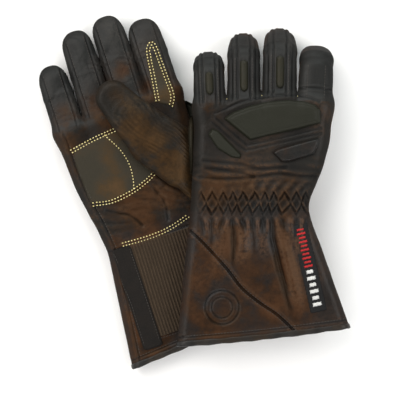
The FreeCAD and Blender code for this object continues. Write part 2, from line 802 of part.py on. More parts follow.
def woven_label(glove):
    """A woven label sewn to the thumb side of the back of the cuff."""
    body = new_body(f"{glove}_woven_label")
    half, length = "label_width / 2", "label_length / 2"
    corners = [
        (f"0 - {half}", f"0 - {length}"),
        (half, f"0 - {length}"),
        (half, length),
        (f"0 - {half}", length),
    ]
    pad(body, sketch(body, "XY_Plane", [corners]), "label")
    side = THUMB_SIDE[glove]
    at = move(side * numbers["label_x"], -numbers["label_y"], numbers["cuff_thick"] / 2)
    body.Placement = cuff_frame(glove) * at * turn(AXIS_Z, side * numbers["label_turn"])
    return body


def closure_flap(glove):
    """The flap that fastens the cuff, sewn along its little-finger edge."""
    body = new_body(f"{glove}_closure_flap")
    low, high = "0 - flap_bottom", "0 - flap_top"
    corners = [("0", low), ("flap_width", low), ("flap_width", high), ("0", high)]
    pad(body, sketch(body, "XY_Plane", [mirrored(glove, corners)]), "flap", "Symmetric")
    free_edge = numbers["flap_width"] / 2
    fillet(body, "0.2 * flap_width", lambda e: upright(e) and abs(e.CenterOfMass.x) > free_edge)
    body.Placement = flap_frame(glove)
    return body


def hook_tape(glove):
    """Hook tape under the flap's free edge, gripping the ribbed panel's loops."""
    body = new_body(f"{glove}_hook_tape")
    far, near = "flap_width - 1.5", "flap_width - 1.5 - hook_width"
    low, high = "0 - flap_bottom + 9", "0 - flap_top - 4"
    corners = [(near, low), (far, low), (far, high), (near, high)]
    pad(body, sketch(body, "XY_Plane", [mirrored(glove, corners)]), "hook - 0.1")
    body.Placement = flap_frame(glove) * move(0, 0, numbers["flap"] / 2)
    return body


# ---------------------------------------------------------------- the pair

def build_glove(glove):
    """Every sub-part of one glove, as the list of objects to write."""
    back, palm, hand_strips, hand_lining = hand_parts(glove)
    back_outer, back_inner, cuff_palm, ribbed, cuff_strips, cuff_lining = cuff_parts(glove)
    made = [back, palm, back_outer, back_inner, cuff_palm, ribbed]
    made.append(group(f"{glove}_outer_side_strip", [hand_strips[0], cuff_strips[0]]))
    made.append(group(f"{glove}_inner_side_strip", [hand_strips[1], cuff_strips[1]]))
    made.append(group(f"{glove}_lining", [hand_lining, cuff_lining]))
    made += [wrist_elastic(glove), knuckle_guard(glove), guard_side_pads(glove), palm_patch(glove)]
    made += [hem_binding(glove), woven_label(glove), closure_flap(glove), hook_tape(glove)]
    for finger in FINGERS:
        made += [near_segment(glove, finger), tip_segment(glove, finger)]
    made += [finger_pad(glove, finger) for finger in PADDED_FINGERS]
    made += [index_patch(glove), thumb(glove)]
    return made


def check(objects):
    """Stops if anything in the document failed, or a sub-part is empty or broken."""
    failed = [o.Label for o in doc.Objects if {"Invalid", "Error"} & set(o.State)]
    if failed:
        raise ValueError(f"these failed to compute: {failed}")
    for o in objects:
        if o.Shape.isNull() or not o.Shape.isValid() or not o.Shape.Solids:
            raise ValueError(f"{o.Label} has no valid solid")


nodes = [part for glove in GLOVES for part in build_glove(glove)]
doc.recompute()
check(nodes)
os.makedirs("parts", exist_ok=True)
for node in nodes:
    node.Shape.exportStep(f"parts/{node.Label}.step")
print(f"{len(nodes)} nodes, {sum(len(n.Shape.Solids) for n in nodes)} solids")
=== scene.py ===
"""Looks for the pair of leather motorcycle gauntlets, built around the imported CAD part.

Each glove is modelled in its own frame, in millimetres: u across (the thumb at +u), v from the wrist
towards the fingertips, w out of the back of the hand. Both gloves share one leather body, made as a
distance field, and differ in their thumb, their finger bends and the way they lie.
"""

import json
import math

import bpy
import numpy as np
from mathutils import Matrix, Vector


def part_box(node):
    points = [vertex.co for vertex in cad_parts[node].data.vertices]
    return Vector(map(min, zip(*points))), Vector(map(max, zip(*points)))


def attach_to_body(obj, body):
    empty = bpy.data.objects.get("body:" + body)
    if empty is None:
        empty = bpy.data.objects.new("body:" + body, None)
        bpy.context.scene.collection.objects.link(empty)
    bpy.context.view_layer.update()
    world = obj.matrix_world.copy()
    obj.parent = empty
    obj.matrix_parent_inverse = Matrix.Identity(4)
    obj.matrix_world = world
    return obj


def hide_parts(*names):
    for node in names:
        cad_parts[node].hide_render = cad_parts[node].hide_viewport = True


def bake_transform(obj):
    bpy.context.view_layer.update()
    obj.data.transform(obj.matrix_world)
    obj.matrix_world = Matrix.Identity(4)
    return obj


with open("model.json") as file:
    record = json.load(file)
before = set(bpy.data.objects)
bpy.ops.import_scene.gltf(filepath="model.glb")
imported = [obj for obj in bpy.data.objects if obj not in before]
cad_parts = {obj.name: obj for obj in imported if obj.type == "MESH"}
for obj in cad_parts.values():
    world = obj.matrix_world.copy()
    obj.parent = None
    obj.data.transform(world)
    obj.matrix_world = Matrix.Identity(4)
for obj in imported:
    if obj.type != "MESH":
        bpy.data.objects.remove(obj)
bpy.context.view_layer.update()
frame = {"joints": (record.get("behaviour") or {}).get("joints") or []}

import openvdb
from mathutils import Vector
from mathutils.bvhtree import BVHTree

MM = 0.001
FINGERS = ("little", "ring", "middle", "index")
JOINTS = {j["name"]: j for j in frame["joints"]}

VOXEL = 0.9

# Finger sizes in millimetres, how far the hinges lie below the leather's middle, and rest bends in degrees.
FINGER_HALF_WIDTH = {"little": 14.6, "ring": 15.4, "middle": 15.8, "index": 15.9}
FINGER_HALF_THICK = 10.2
TIP_LENGTH = {"little": 29, "ring": 42, "middle": 42, "index": 34}
AXIS_DROP = 4
LEFT_CURL = {"little": 60, "ring": 53, "middle": 52, "index": 62}
# Where the dye is rubbed through: (u, v, radius, amount), on the back and on the palm side.
WORN_BACK = [
    (34, -30, 9, 0.5), (40, -58, 10, 0.6), (45, -90, 10, 0.6), (25, -97, 10, 0.5), (-32, -38, 12, 0.4),
    (-3, -71, 13, 0.35), (-36, -112, 12, 0.3), (-27, 17, 13, 0.8), (0, 20, 12, 0.4), (-33, 90, 9, 0.5),
]
WORN_PALM = [
    (-44, 112, 11, 0.8), (-36, 96, 14, 0.5), (-22, 124, 7, 0.5), (17, 136, 9, 0.6), (-14, 14, 15, 0.5),
    (20, 6, 13, 0.5), (-40, -60, 10, 0.3), (-56, -80, 10, 0.5), (-50, -118, 14, 0.4), (10, -118, 12, 0.3),
]
# How far each finger's leather sits to the thumb's side of its hinge.
FINGER_SHIFT = {
    "right": {"little": 0.4, "ring": 0, "middle": 0, "index": 0},
    "left": {"little": 1.6, "ring": 1, "middle": 2, "index": 3.6},
}


# ---------------------------------------------------------------- small maths


def smooth_min(a, b, k):
    """A smooth union of two distance fields."""
    h = np.maximum(k - np.abs(a - b), 0) / k
    return np.minimum(a, b) - h * h * k * 0.25


def smooth_max(a, b, k):
    return -smooth_min(-a, -b, k)


def step(x, low, high):
    """Smoothstep from 0 at low to 1 at high."""
    t = np.clip((x - low) / (high - low), 0, 1)
    return t * t * (3 - 2 * t)


def bump(x, centre, width):
    return np.exp(-(((x - centre) / width) ** 2))


def triangle(x):
    """A wave from -1 to 1 with straight sides and period 1."""
    return 4 * np.abs(x - np.floor(x + 0.5)) - 1


def noise(points, scale, seed):
    """Smooth value noise, about -1 to 1, of points (n, 3) in millimetres."""
    lattice = np.random.RandomState(seed).uniform(-1, 1, (32, 32, 32))
    p = points / scale + 16.37
    i = np.floor(p).astype(int)
    f = p - i
    f = f * f * (3 - 2 * f)
    total = 0
    for corner in range(8):
        offset = np.array([corner & 1, corner >> 1 & 1, corner >> 2 & 1])
        j = (i + offset) % 32
        share = np.prod(np.where(offset == 1, f, 1 - f), axis=1)
        total = total + share * lattice[j[:, 0], j[:, 1], j[:, 2]]
    return total


def along(points):
    """The running length of a polyline."""
    return np.concatenate([[0], np.cumsum(np.linalg.norm(np.diff(points, axis=0), axis=1))])


def smooth_line(points, spacing=1.0):
    """A Catmull-Rom curve through 2D or 3D points, resampled evenly."""
    p = np.array(points, float)
    if len(p) > 2:
        ends = np.vstack([2 * p[0] - p[1], p, 2 * p[-1] - p[-2]])
        t = np.linspace(0, 1, 12, endpoint=False)[:, None]
        runs = []
        for a, b, c, d in zip(ends, ends[1:], ends[2:], ends[3:]):
            cubic = (3 * b - a - 3 * c + d) * t**3 + (2 * a - 5 * b + 4 * c - d) * t**2
            runs.append(0.5 * (cubic + (c - a) * t + 2 * b))
        p = np.vstack(runs + [p[-1:]])
    s = along(p)
    n = max(int(round(s[-1] / spacing)), 1)
    at = np.linspace(0, s[-1], n + 1)
    return np.stack([np.interp(at, s, p[:, k]) for k in range(p.shape[1])], 1)


def nearest_on(points, line):
    """The places on a polyline nearest to points (n, 2), and how far away they are."""
    places, best = points.copy(), np.full(len(points), 1e9)
    for a, b in zip(line, line[1:]):
        ab = b - a
        share = np.clip((points - a) @ ab / max(ab @ ab, 1e-9), 0, 1)
        foot = a + share[:, None] * ab
        gap = np.linalg.norm(points - foot, axis=1)
        nearer = gap < best
        places[nearer], best[nearer] = foot[nearer], gap[nearer]
    return places, best


def line_distance(uv, line):
    """Distance of points (n, 2) from a polyline, or 1e9 where it is further than 6 mm."""
    best = np.full(len(uv), 1e9)
    near = ((uv > line.min(0) - 6) & (uv < line.max(0) + 6)).all(1)
    best[near] = nearest_on(uv[near], line)[1]
    return best


def polygon_distance(uv, outline):
    """Signed distance of points to a closed outline, positive inside."""
    closed = np.vstack([outline, outline[:1]])
    inside = np.zeros(len(uv), bool)
    for a, b in zip(closed, closed[1:]):
        crosses = (a[1] > uv[:, 1]) != (b[1] > uv[:, 1])
        rise = b[1] - a[1] if abs(b[1] - a[1]) > 1e-12 else 1e-12
        inside ^= crosses & (uv[:, 0] < a[0] + (uv[:, 1] - a[1]) / rise * (b[0] - a[0]))
    distance = nearest_on(uv, closed)[1]
    return np.where(inside, distance, -distance)


def rounded_edge(a, b, radius):
    """The field of a body between two pairs of faces, with its edges rounded."""
    outside = np.hypot(np.maximum(a, 0), np.maximum(b, 0))
    return outside + np.minimum(np.maximum(a, b), 0) - radius


def along_axes(origin, axes, u, v, w):
    """How far points, given as three arrays, lie from an origin along each axis."""
    p = (u - origin[0], v - origin[1], w - origin[2])
    return [sum(p[k] * axis[k] for k in range(3)) for axis in axes]


# ---------------------------------------------------------------- a glove's frame and outline

# The hand and cuff in plan: (v, u) of the little-finger edge and of the thumb edge.
OUTER_EDGE = {
    "right": [
        (-140, -63), (-128, -62), (-71, -56), (-20, -50.5), (8, -53.5),
        (41, -60), (65, -62), (98, -63), (130, -64),
    ],
    "left": [
        (-140, -65), (-127, -64), (-86, -60), (-30, -55),
        (6, -51), (39, -49.5), (89, -48.5), (130, -48.5),
    ],
}
INNER_EDGE = {
    "right": [(-140, 103), (-110, 93), (-12, 56), (2, 52), (25, 56), (65, 60), (130, 60)],
    "left": [
        (-140, 106), (-110, 94), (-12, 58.5), (2, 55.5), (16, 61),
        (25, 65.5), (35, 69.5), (58, 75.5), (100, 78.5), (130, 79),
    ],
}
# Half thickness along the glove: (v, half thickness).
HALF_THICK = [(-140, 10), (-40, 10.2), (-14, 9.8), (4, 10), (30, 12.4), (60, 13), (95, 13), (125, 11.5)]
# How far the cuff and the thumb slope down to what they lie on, in degrees.
SAG = {"right": 3, "left": 4}
THUMB_DROOP = {"right": 0, "left": 9}
# The leather's thickness, and v where the cuff's hollow ends inside the hand.
WALL, CAVITY_END = 2.4, 45
# The hem: its end at the little finger (u, v), its length, its rise and its bow.
HEM_U, HEM_V, HEM_LENGTH, HEM_RISE, HEM_BOW = -63, -127, 157, 17, 1.5
# From the glove's origin to the middle of the wrist elastic, along v and w.
ELASTIC_V, ELASTIC_W = 10, 10.7
# The thumb's plan: (away from the fold, along it, half width).
THUMB_SPINE = [(-13.5, -34, 9), (-4, -2, 27), (22, 17, 24.5), (44, 42, 18.5), (57, 58.5, 15.6)]


def profile(table, v, blur=7):
    """A table of (position, value) at v, with its corners rounded."""
    at, values = np.array(table, float).T
    spread = np.linspace(-blur, blur, 9)
    return sum(np.interp(v + s, at, values) for s in spread) / len(spread)


def hem(u):
    """The hem line, v at u."""
    share = (u - HEM_U) / HEM_LENGTH
    return HEM_V + HEM_RISE * share - HEM_BOW * np.sin(share * math.pi)


class Glove:
    """One glove's frame, the joints in that frame, and the distance fields of its leather."""

    def __init__(self, hand):
        self.hand = hand
        self.up = -1 if hand == "right" else 1
        u_axis = -self.up * np.array(JOINTS[f"{hand}_ring_knuckle"]["axis"])
        w_axis = np.array([0, 0, self.up])
        v_axis = np.cross([0, 0, 1], u_axis)
        self.axes = np.array([u_axis, v_axis, w_axis])
        low, high = (np.array(corner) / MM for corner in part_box(f"{hand}_wrist_elastic"))
        self.origin = (low + high) / 2 - ELASTIC_V * v_axis - ELASTIC_W * w_axis
        self.digits = {finger: self.digit(finger) for finger in FINGERS}
        self.thumb = self.thumb_frame()

    def world(self, points):
        """Glove millimetres to row metres."""
        return (self.origin + np.asarray(points, float) @ self.axes) * MM

    def inner(self, metres):
        """Row metres to glove millimetres."""
        return (np.asarray(metres, float) / MM - self.origin) @ self.axes.T

    def joint(self, name):
        j = JOINTS[f"{self.hand}_{name}"]
        return self.inner(j["pos_m"]), np.array(j["axis"]) @ self.axes.T

    def digit(self, finger):
        """Frames of a finger's two segments: origin, across, along, out of the back, and length."""
        knuckle, axis = self.joint(f"{finger}_knuckle")
        middle, _ = self.joint(f"{finger}_middle_joint")
        length = np.linalg.norm(middle - knuckle)
        across = axis * -self.up
        near = (middle - knuckle) / length
        out = np.cross(across, near)
        curl = math.radians(LEFT_CURL[finger] if self.hand == "left" else 0)
        far = math.cos(curl) * near - math.sin(curl) * out
        shift = FINGER_SHIFT[self.hand][finger] * across
        return [
            (knuckle + shift, across, near, out, length),
            (middle + shift, across, far, np.cross(across, far), TIP_LENGTH[finger]),
        ]

    def thumb_frame(self):
        """Origin on the fold, away from the fold, along it, and out of the back."""
        origin, axis = self.joint("thumb_fold")
        fold = axis * np.sign(axis[1])
        level = np.cross([0, 0, 1], fold)
        level /= np.linalg.norm(level)
        droop = math.radians(THUMB_DROOP[self.hand])
        away = math.cos(droop) * level - math.sin(droop) * np.array([0, 0, 1])
        return origin, away, fold, np.cross(fold, away)

    # ------------------------------------------------------------ distance fields

    def sag(self, v):
        """The cuff's mid plane, which slopes to whatever it lies on."""
        below = -8 * np.logaddexp(0, -(v + 1.5) / 8)
        return below * math.tan(math.radians(SAG[self.hand])) * self.up

    def edge(self, v, inner):
        return profile((INNER_EDGE if inner else OUTER_EDGE)[self.hand], v)

    def slab(self, u, v, w):
        """The hand and cuff as one endless flat tube, a little thinner at its sides."""
        low, high = self.edge(v, False), self.edge(v, True)
        half, centre = (high - low) / 2, (high + low) / 2
        across = (u - centre) / half
        thick = profile(HALF_THICK, v) * (1 - 0.14 * np.minimum(np.abs(across), 1) ** 3)
        radius = thick * 0.97
        beside = np.abs(u - centre) - (half - radius)
        return rounded_edge(beside, np.abs(w - self.sag(v)) - (thick - radius), radius)

    def knuckle_line(self, u):
        """Where the hand's slab ends, short of the knuckle hinges."""
        reach = 8 if self.hand == "right" else 5
        points = [(d[0][0][0], d[0][0][1] - reach) for d in self.digits.values()]
        return np.interp(u, *np.array(points).T)

    def palm_and_cuff(self, u, v, w):
        """The hand and cuff, hollow from the cuff's mouth as far as CAVITY_END."""
        slab = self.slab(u, v, w)
        solid = smooth_max(slab, v - self.knuckle_line(u), 9)
        solid = np.maximum(solid, hem(u) - v)
        cavity = smooth_max(slab + WALL, v - CAVITY_END, 6)
        return np.maximum(solid, -cavity)

    def segment(self, finger, which, u, v, w):
        """One finger segment, a boxy capsule; the left glove's tips are rounder."""
        origin, across, along_it, out, length = self.digits[finger][which]
        a, s, n = along_axes(origin, (across, along_it, out), u, v, w)
        n = n - AXIS_DROP
        left = self.hand == "left"
        rounding, shoulder = (length * 0.62, 12) if left else (17, 8)
        near_ends = (-6, 15, length + 7 - shoulder, shoulder)
        start, start_cap, end, end_cap = (near_ends, (1, 8, length - rounding, rounding))[which]
        part = np.clip(s / length, 0, 1)
        taper = 0.03 if which == 0 else 0.2 if left else 0.09
        width = FINGER_HALF_WIDTH[finger] * (1 - taper * part)
        thick = FINGER_HALF_THICK * (1 - (0, 0.1)[which] * part)
        power = 2.3 if left and which == 1 else 2.6
        beyond = np.maximum(s - end, 0) / end_cap
        before = np.maximum(start - s, 0) / start_cap
        sums = (np.abs(a) / width) ** power + (np.abs(n) / thick) ** power
        sums = sums + beyond ** 2.1 + before**power
        return (np.maximum(sums, 1e-9) ** (1 / power) - 1) * thick

    def thumb_field(self, u, v, w):
        """The thumb, folded flat: wide at the fold and tapering to its tip."""
        origin, *axes = self.thumb
        s, t, n = along_axes(origin, axes, u, v, w)
        plan = 1e9
        for (s0, t0, r0), (s1, t1, r1) in zip(THUMB_SPINE, THUMB_SPINE[1:]):
            ds, dt = s1 - s0, t1 - t0
            share = np.clip(((s - s0) * ds + (t - t0) * dt) / (ds * ds + dt * dt), 0, 1)
            reach = np.hypot(s - s0 - share * ds, t - t0 - share * dt)
            plan = np.minimum(plan, reach - r0 - share * (r1 - r0))
        plan = smooth_max(plan, -16 - s, 5)
        plan = smooth_max(plan, u - self.edge(v, True) + 2, 6)
        # Beyond the fold the thumb's leather runs up into the hand.
        n = n - 0.75 * 4 * np.logaddexp(0, (-s - 2) / 4)
        half = 7.4 - 0.6 * step(s, 40, 66)
        radius = half * 0.93
        return rounded_edge(plan + radius, np.abs(n) - (half - radius), radius)


# ---------------------------------------------------------------- meshes from fields


class Surface:
    """A quad mesh in glove millimetres, with its points' normals."""

    def __init__(self, points, quads):
        self.points = points
        self.quads = quads
        self.normals = vertex_normals(points, quads)

    def tree(self):
        """For finding where a line meets the surface."""
        points = [tuple(p) for p in self.points]
        return BVHTree.FromPolygons(points, [tuple(q) for q in self.quads.tolist()])


def sum_at(index, rows, count):
    """Adds up rows of three numbers at the points they belong to."""
    return np.stack([np.bincount(index, rows[:, axis], count) for axis in range(3)], 1)


def vertex_normals(points, quads):
    a = points[quads[:, 2]] - points[quads[:, 0]]
    b = points[quads[:, 3]] - points[quads[:, 1]]
    face = np.cross(a, b)
    total = sum(sum_at(quads[:, k], face, len(points)) for k in range(4))
    return total / np.maximum(np.linalg.norm(total, axis=1, keepdims=True), 1e-12)


def relax(points, quads, rounds=2, amount=0.5):
    """Evens the mesh by moving each point towards its neighbours' mean."""
    pairs = np.vstack([quads[:, [k, (k + 1) % 4]] for k in range(4)])
    ends = ((pairs[:, 0], pairs[:, 1]), (pairs[:, 1], pairs[:, 0]))
    count = np.maximum(np.bincount(pairs.ravel(), minlength=len(points)), 1)[:, None]
    for _ in range(rounds):
        total = sum(sum_at(here, points[there], len(points)) for here, there in ends)
        points = points + amount * (total / count - points)
    return points


def grid_axes(low, high, voxel):
    counts = [int((h - l) / voxel) + 1 for l, h in zip(low, high)]
    lines = [l + voxel * np.arange(n, dtype=np.float32) for l, n in zip(low, counts)]
    return lines[0][:, None, None], lines[1][None, :, None], lines[2][None, None, :]


def surface_of(field, low, voxel):
    """The zero surface of a distance field sampled on a grid that starts at low."""
    grid = openvdb.FloatGrid(background=20.0)
    grid.copyFromArray(np.clip(field, -20, 20).astype(np.float32))
    points, quads = grid.convertToQuads(isovalue=0.0)
    points = np.array(points, float) * voxel + np.array(low)
    quads = np.array(quads, int)
    a, b, c = (points[quads[:, k]] for k in (0, 1, 2))
    if np.einsum("ij,ij->i", a, np.cross(b, c)).sum() < 0:
        quads = quads[:, ::-1]
    return Surface(relax(points, quads), quads)


def glove_surface(glove):
    """The whole leather body: cuff, hand and fingers."""
    left = glove.hand == "left"
    low = np.array([-72.0, -133.0, -56.0 if left else -26.0])
    high = np.array([102.0, 175.0 if left else 198.0, 24.0])
    u, v, w = grid_axes(low, high, VOXEL)
    lines = (u.ravel(), v.ravel(), w.ravel())
    base = glove.palm_and_cuff(u, v, w).astype(np.float32)
    field = base.copy()
    for finger in FINGERS:
        near, far = glove.digits[finger]
        ends = np.array([near[0] - 30 * near[2], far[0], far[0] + (far[4] + 4) * far[2]])
        reach = zip(lines, ends.min(0) - 20, ends.max(0) + 20)
        window = tuple(slice(*np.searchsorted(line, span)) for line, *span in reach)
        box = (u[window[0]], v[:, window[1]], w[:, :, window[2]])
        segments = [glove.segment(finger, which, *box) for which in (0, 1)]
        bent = smooth_min(*segments, 2.5 if left else 1.0)
        field[window] = np.minimum(field[window], smooth_min(base[window], bent, 8))
    return surface_of(field, low, VOXEL)


def thumb_surface(glove):
    origin, away, fold, _ = glove.thumb
    corners = np.array([origin + s * away + t * fold for s in (-16, 76) for t in (-48, 78)])
    low, high = corners.min(0) - 12, corners.max(0) + 12
    u, v, w = grid_axes(low, high, VOXEL)
    return surface_of(glove.thumb_field(u, v, w), low, VOXEL)


# ---------------------------------------------------------------- details of the leather

# Outlines and lines in (u, v) of each glove, in millimetres.
GUARD_MAIN = [
    (-22, 80.5), (-13, 86.5), (1.7, 92), (18, 96), (36, 97.5), (52, 96.5), (62, 93.5),
    (67, 88.5), (67.5, 76), (46, 70.5), (21.5, 65), (2.5, 60.5), (-10, 70.5),
]
GUARD_OUTER = [(-36, 66), (-32, 72), (-26, 69.5), (-5, 48), (-6, 43.5), (-15, 45), (-27.5, 53)]
GUARD_INNER = [(22, 49.5), (27, 53), (46, 58.5), (65, 63.5), (66, 58), (61, 47.5), (39, 41), (31, 40.5)]
BACK_CREASES = [
    [(-44, 27), (-20, 25.5), (5, 27), (30, 30), (50, 28), (62, 28)],
    [(-40, 42), (-25, 40.5), (-5, 38.5), (12, 34.5), (35, 36)],
    [(-38, 35), (-22, 33.5), (-6, 31), (6, 27.5)],
]
GUARD_RIDGES = [
    [(-29, 81), (-2, 58), (2.5, 56.5), (35, 63.5), (67, 71.5)],
    [(-32, 77), (-5, 54), (2.5, 52.5), (25, 57.5), (67, 67)],
    [(-30, 85), (-18, 90), (-4, 96), (17, 100.5), (38, 102), (54, 100.5), (66, 96)],
]
DIAGONAL_SEAM = [(-52, -22), (-40, -33), (-19, -56), (-5, -74), (12, -88), (28, -99), (46, -116)]
PALM_PATCH = [
    (-52, 30), (-34, 26.5), (-14, 28.5), (3, 34), (16, 41),
    (14, 60), (0, 86), (-10, 88), (-30, 85), (-52, 81),
]
PALM_CREASES = [
    [(14, 38), (24, 24), (34, 15), (46, 7)],
    [(20, 44), (32, 30), (42, 18)],
    [(-40, 20), (-20, 8), (-12, -4)],
    [(8, 26), (14, 10), (12, -6)],
]
# The index finger's stitched patch: across and along from its knuckle.
INDEX_ROW = [
    (-9, -17), (-6, 6), (-3.5, 28), (-1, 35), (3, 38),
    (6.5, 34), (7.5, 18), (8.3, 0), (8.3, -16), (4, -25),
]
# Seams: in from the palm's edges, across the wrist on the palm side (v), and in from the hem.
EDGE_SEAM, WRIST_SEAM, HEM_SEAM = 8, -17.5, 7
EMBLEM_CENTRE, EMBLEM_RADIUS = (-23, -92), 15.5
LABEL_CENTRE, LABEL_LEAN, LABEL_WIDTH, LABEL_LENGTH = (56.5, -56), 13, 16.4, 83
# The label's blocks: colour, how many, the first one's place, pitch, length and half width. Every
# other block is narrower by BLOCK_STEP on each side.
LABEL_BLOCKS = (("label_red", 10, 0.5, 3.8, 3, 4.7), ("label_white", 6, -36, 6.1, 4.4, 4.6))
BLOCK_STEP = 0.9
# The ribbed panel and the closure flap on the palm side: from u to u and from v to v.
RIBBED, RIB_PITCH = (-29, 33, -107, -18), 2.9
FLAP, FLAP_GAP = (-46.5, -28, -115, -17), 0.35
# The gathers at the wrist: the zigzags' rows (v, phase), their pitch and how far they swing.
GATHER_ROWS, GATHER_PITCH, GATHER_REACH = ((8.5, 0), (-2.5, 0.5)), 9.6, 4.6
# Folds down the cuff: u at the gathers, u near the hem, depth and length.
CUFF_FOLDS = [
    (-26, -36, 0.9, 60), (-8, -7, 2.4, 64), (10, 13, 1.2, 52), (24, 46, 3.0, 112), (40, 56, 0.7, 60),
]
# Rows of stitches: thread, pitch, length and radius.
PATCH_ROW = ("yellow_thread", 2.9, 1.5, 0.52)
WEB_DOT = ("yellow_thread", 1.4, 0.7, 0.34)
SEAM_ROW = ("dark_thread", 2.8, 2.0, 0.3)
PANEL_ROW = ("dark_thread", 2.8, 2.0, 0.32)
FLAP_ROW = ("dark_thread", 2.6, 1.8, 0.3)
FINGER_ROW = ("dark_thread", 2.6, 1.8, 0.28)


def facing(normals, back):
    """How much each point faces the back of the hand, or the palm."""
    return step(normals[:, 2] * (1 if back else -1), 0.1, 0.5)


def groove(distance, depth, width=0.9):
    """A sewn seam: a narrow groove with leather puffed up on both sides."""
    return -depth * bump(distance, 0, width) + 0.35 * depth * bump(distance, 2.4 * width, 1.3 * width)


def shirring(points, mask):
    """Leather gathered over elastic: rows of zigzag folds, with pleats above and below."""
    u, v = points[:, 0], points[:, 1]
    wander = 3.2 * noise(points, 17, 5)
    phase = (u + wander) / GATHER_PITCH
    pleats = np.cos(2 * math.pi * phase)
    total = np.zeros(len(u))
    for row, shift in GATHER_ROWS:
        zigzag = v - row - GATHER_REACH * triangle(phase + shift)
        total -= (2.0 + 0.9 * noise(points, 8, 6)) * bump(zigzag, 0, 1.7)
        total += 0.9 * bump(zigzag, 3.4, 1.7)
    total += 1.2 * pleats * np.cos((v - 3) / 11 * math.pi) * bump(v, 3, 10)
    total += 1.3 * pleats * bump(v, -15, 9) * step(-v, 6, 12)
    slanted = np.cos(2 * math.pi * (u + wander - 0.9 * (v - 14)) / 11)
    total += 0.9 * slanted * bump(v, 18, 6) * step(v, 12, 16) * step(u, -12, 4)
    return total * step(u, -48, -38) * (1 - step(u, 50, 60)) * mask


def long_folds(points, mask):
    """Folds that run down the cuff from the gathers."""
    u, v = points[:, 0], points[:, 1]
    below = step(-v, 14, 34) * mask
    total = np.zeros(len(u))
    for start, end, depth, low in CUFF_FOLDS:
        centre = start + (end - start) * np.clip((-v - 12) / 90, 0, 1) + 2 * noise(points, 24, 91)
        reach = 1 - step(-v, 0.45 * low, low)
        total += depth * reach * (bump(u, centre + 4, 6) - 0.9 * bump(u, centre - 4, 3.4))
    return total * below


def crinkle(points, scale, seed, stretch):
    """Sharp leather creases: the valleys of folded noise."""
    p = points * np.array(stretch)
    warp = np.stack([noise(p, scale * 2.2, seed + k) for k in (1, 2, 3)], 1) * scale * 0.6
    ridged = np.abs(noise(p + warp, scale, seed)) + 0.5 * np.abs(noise(p + warp, scale / 2, seed + 7))
    return 1 - 2.2 * np.exp(-((ridged / 0.16) ** 2)) * 0.5


def emblem(points, mask):
    """Two plain embossed rings, one inside the other."""
    r = np.hypot(points[:, 0] - EMBLEM_CENTRE[0], points[:, 1] - EMBLEM_CENTRE[1])
    total = bump(r, EMBLEM_RADIUS, 1.1) + 0.8 * bump(r, 0.62 * EMBLEM_RADIUS, 1.0)
    return -1.1 * total * mask


def finger_details(glove, points, normals):
    """Side seams, a strip down the back, and creases at the joints of every finger."""
    total = np.zeros(len(points))
    for finger in FINGERS:
        width = FINGER_HALF_WIDTH[finger]
        (_, _, near, _, _), (middle, _, far, _, _) = glove.digits[finger]
        beyond = (points - middle) @ (near + far) > 0
        for which, (origin, across, along_it, out, length) in enumerate(glove.digits[finger]):
            a, s, n = ((points - origin) @ axis for axis in (across, along_it, out))
            here = (np.abs(a) < width + 3) & (np.abs(n - AXIS_DROP) < 15)
            here &= (s > -14) & (s < length + 14) & (beyond == bool(which))
            a, s, p = a[here], s[here], points[here]
            rise, side = normals[here] @ out, np.abs(a)
            change = groove(np.abs(side - width + 5.6), 0.6, 0.7) * step(-rise, 0.15, 0.5)
            if finger != "index":
                narrowing = 1 - 0.35 * which * np.clip(s / length, 0, 1) ** 2
                change += groove(np.abs(side - 6.2 * narrowing), 0.8, 0.8) * step(rise, 0.3, 0.6)
                outer = np.abs(side - (width - 4.2) * narrowing)
                change += groove(outer, 0.6, 0.8) * step(rise, 0.1, 0.4)
            change *= step(s, -12, -6) if which == 0 else 1 - step(s, length - 7, length - 2)
            if which == 1 and finger != "index":
                across_line = np.abs(s - (length - 11) + 0.03 * a * a)
                change += groove(across_line, 0.5, 0.8) * step(rise, 0.2, 0.5)
            if which == 0 and finger == "index":
                change += groove(np.abs(s - 3), 0.7, 0.9) * step(rise, 0.2, 0.5)
            bend = s + 0.03 * a * a + 1.8 * noise(p, 9, 15)
            wave = np.cos(2 * math.pi * bend / (5.4 + 0.6 * (width - 15)))
            wave *= (0.24, 0.05)[glove.hand == "left"] * np.clip(0.4 + noise(p, 14, 16), 0, 1)
            joint_at = length if which == 0 else 0
            change += wave * bump(s, joint_at, 9) * step(np.abs(rise), 0.3, 0.7)
            if which == 0:
                change += 0.8 * wave * bump(s, 3, 6) * step(-rise, 0.3, 0.7)
            total[here] += change
    return total


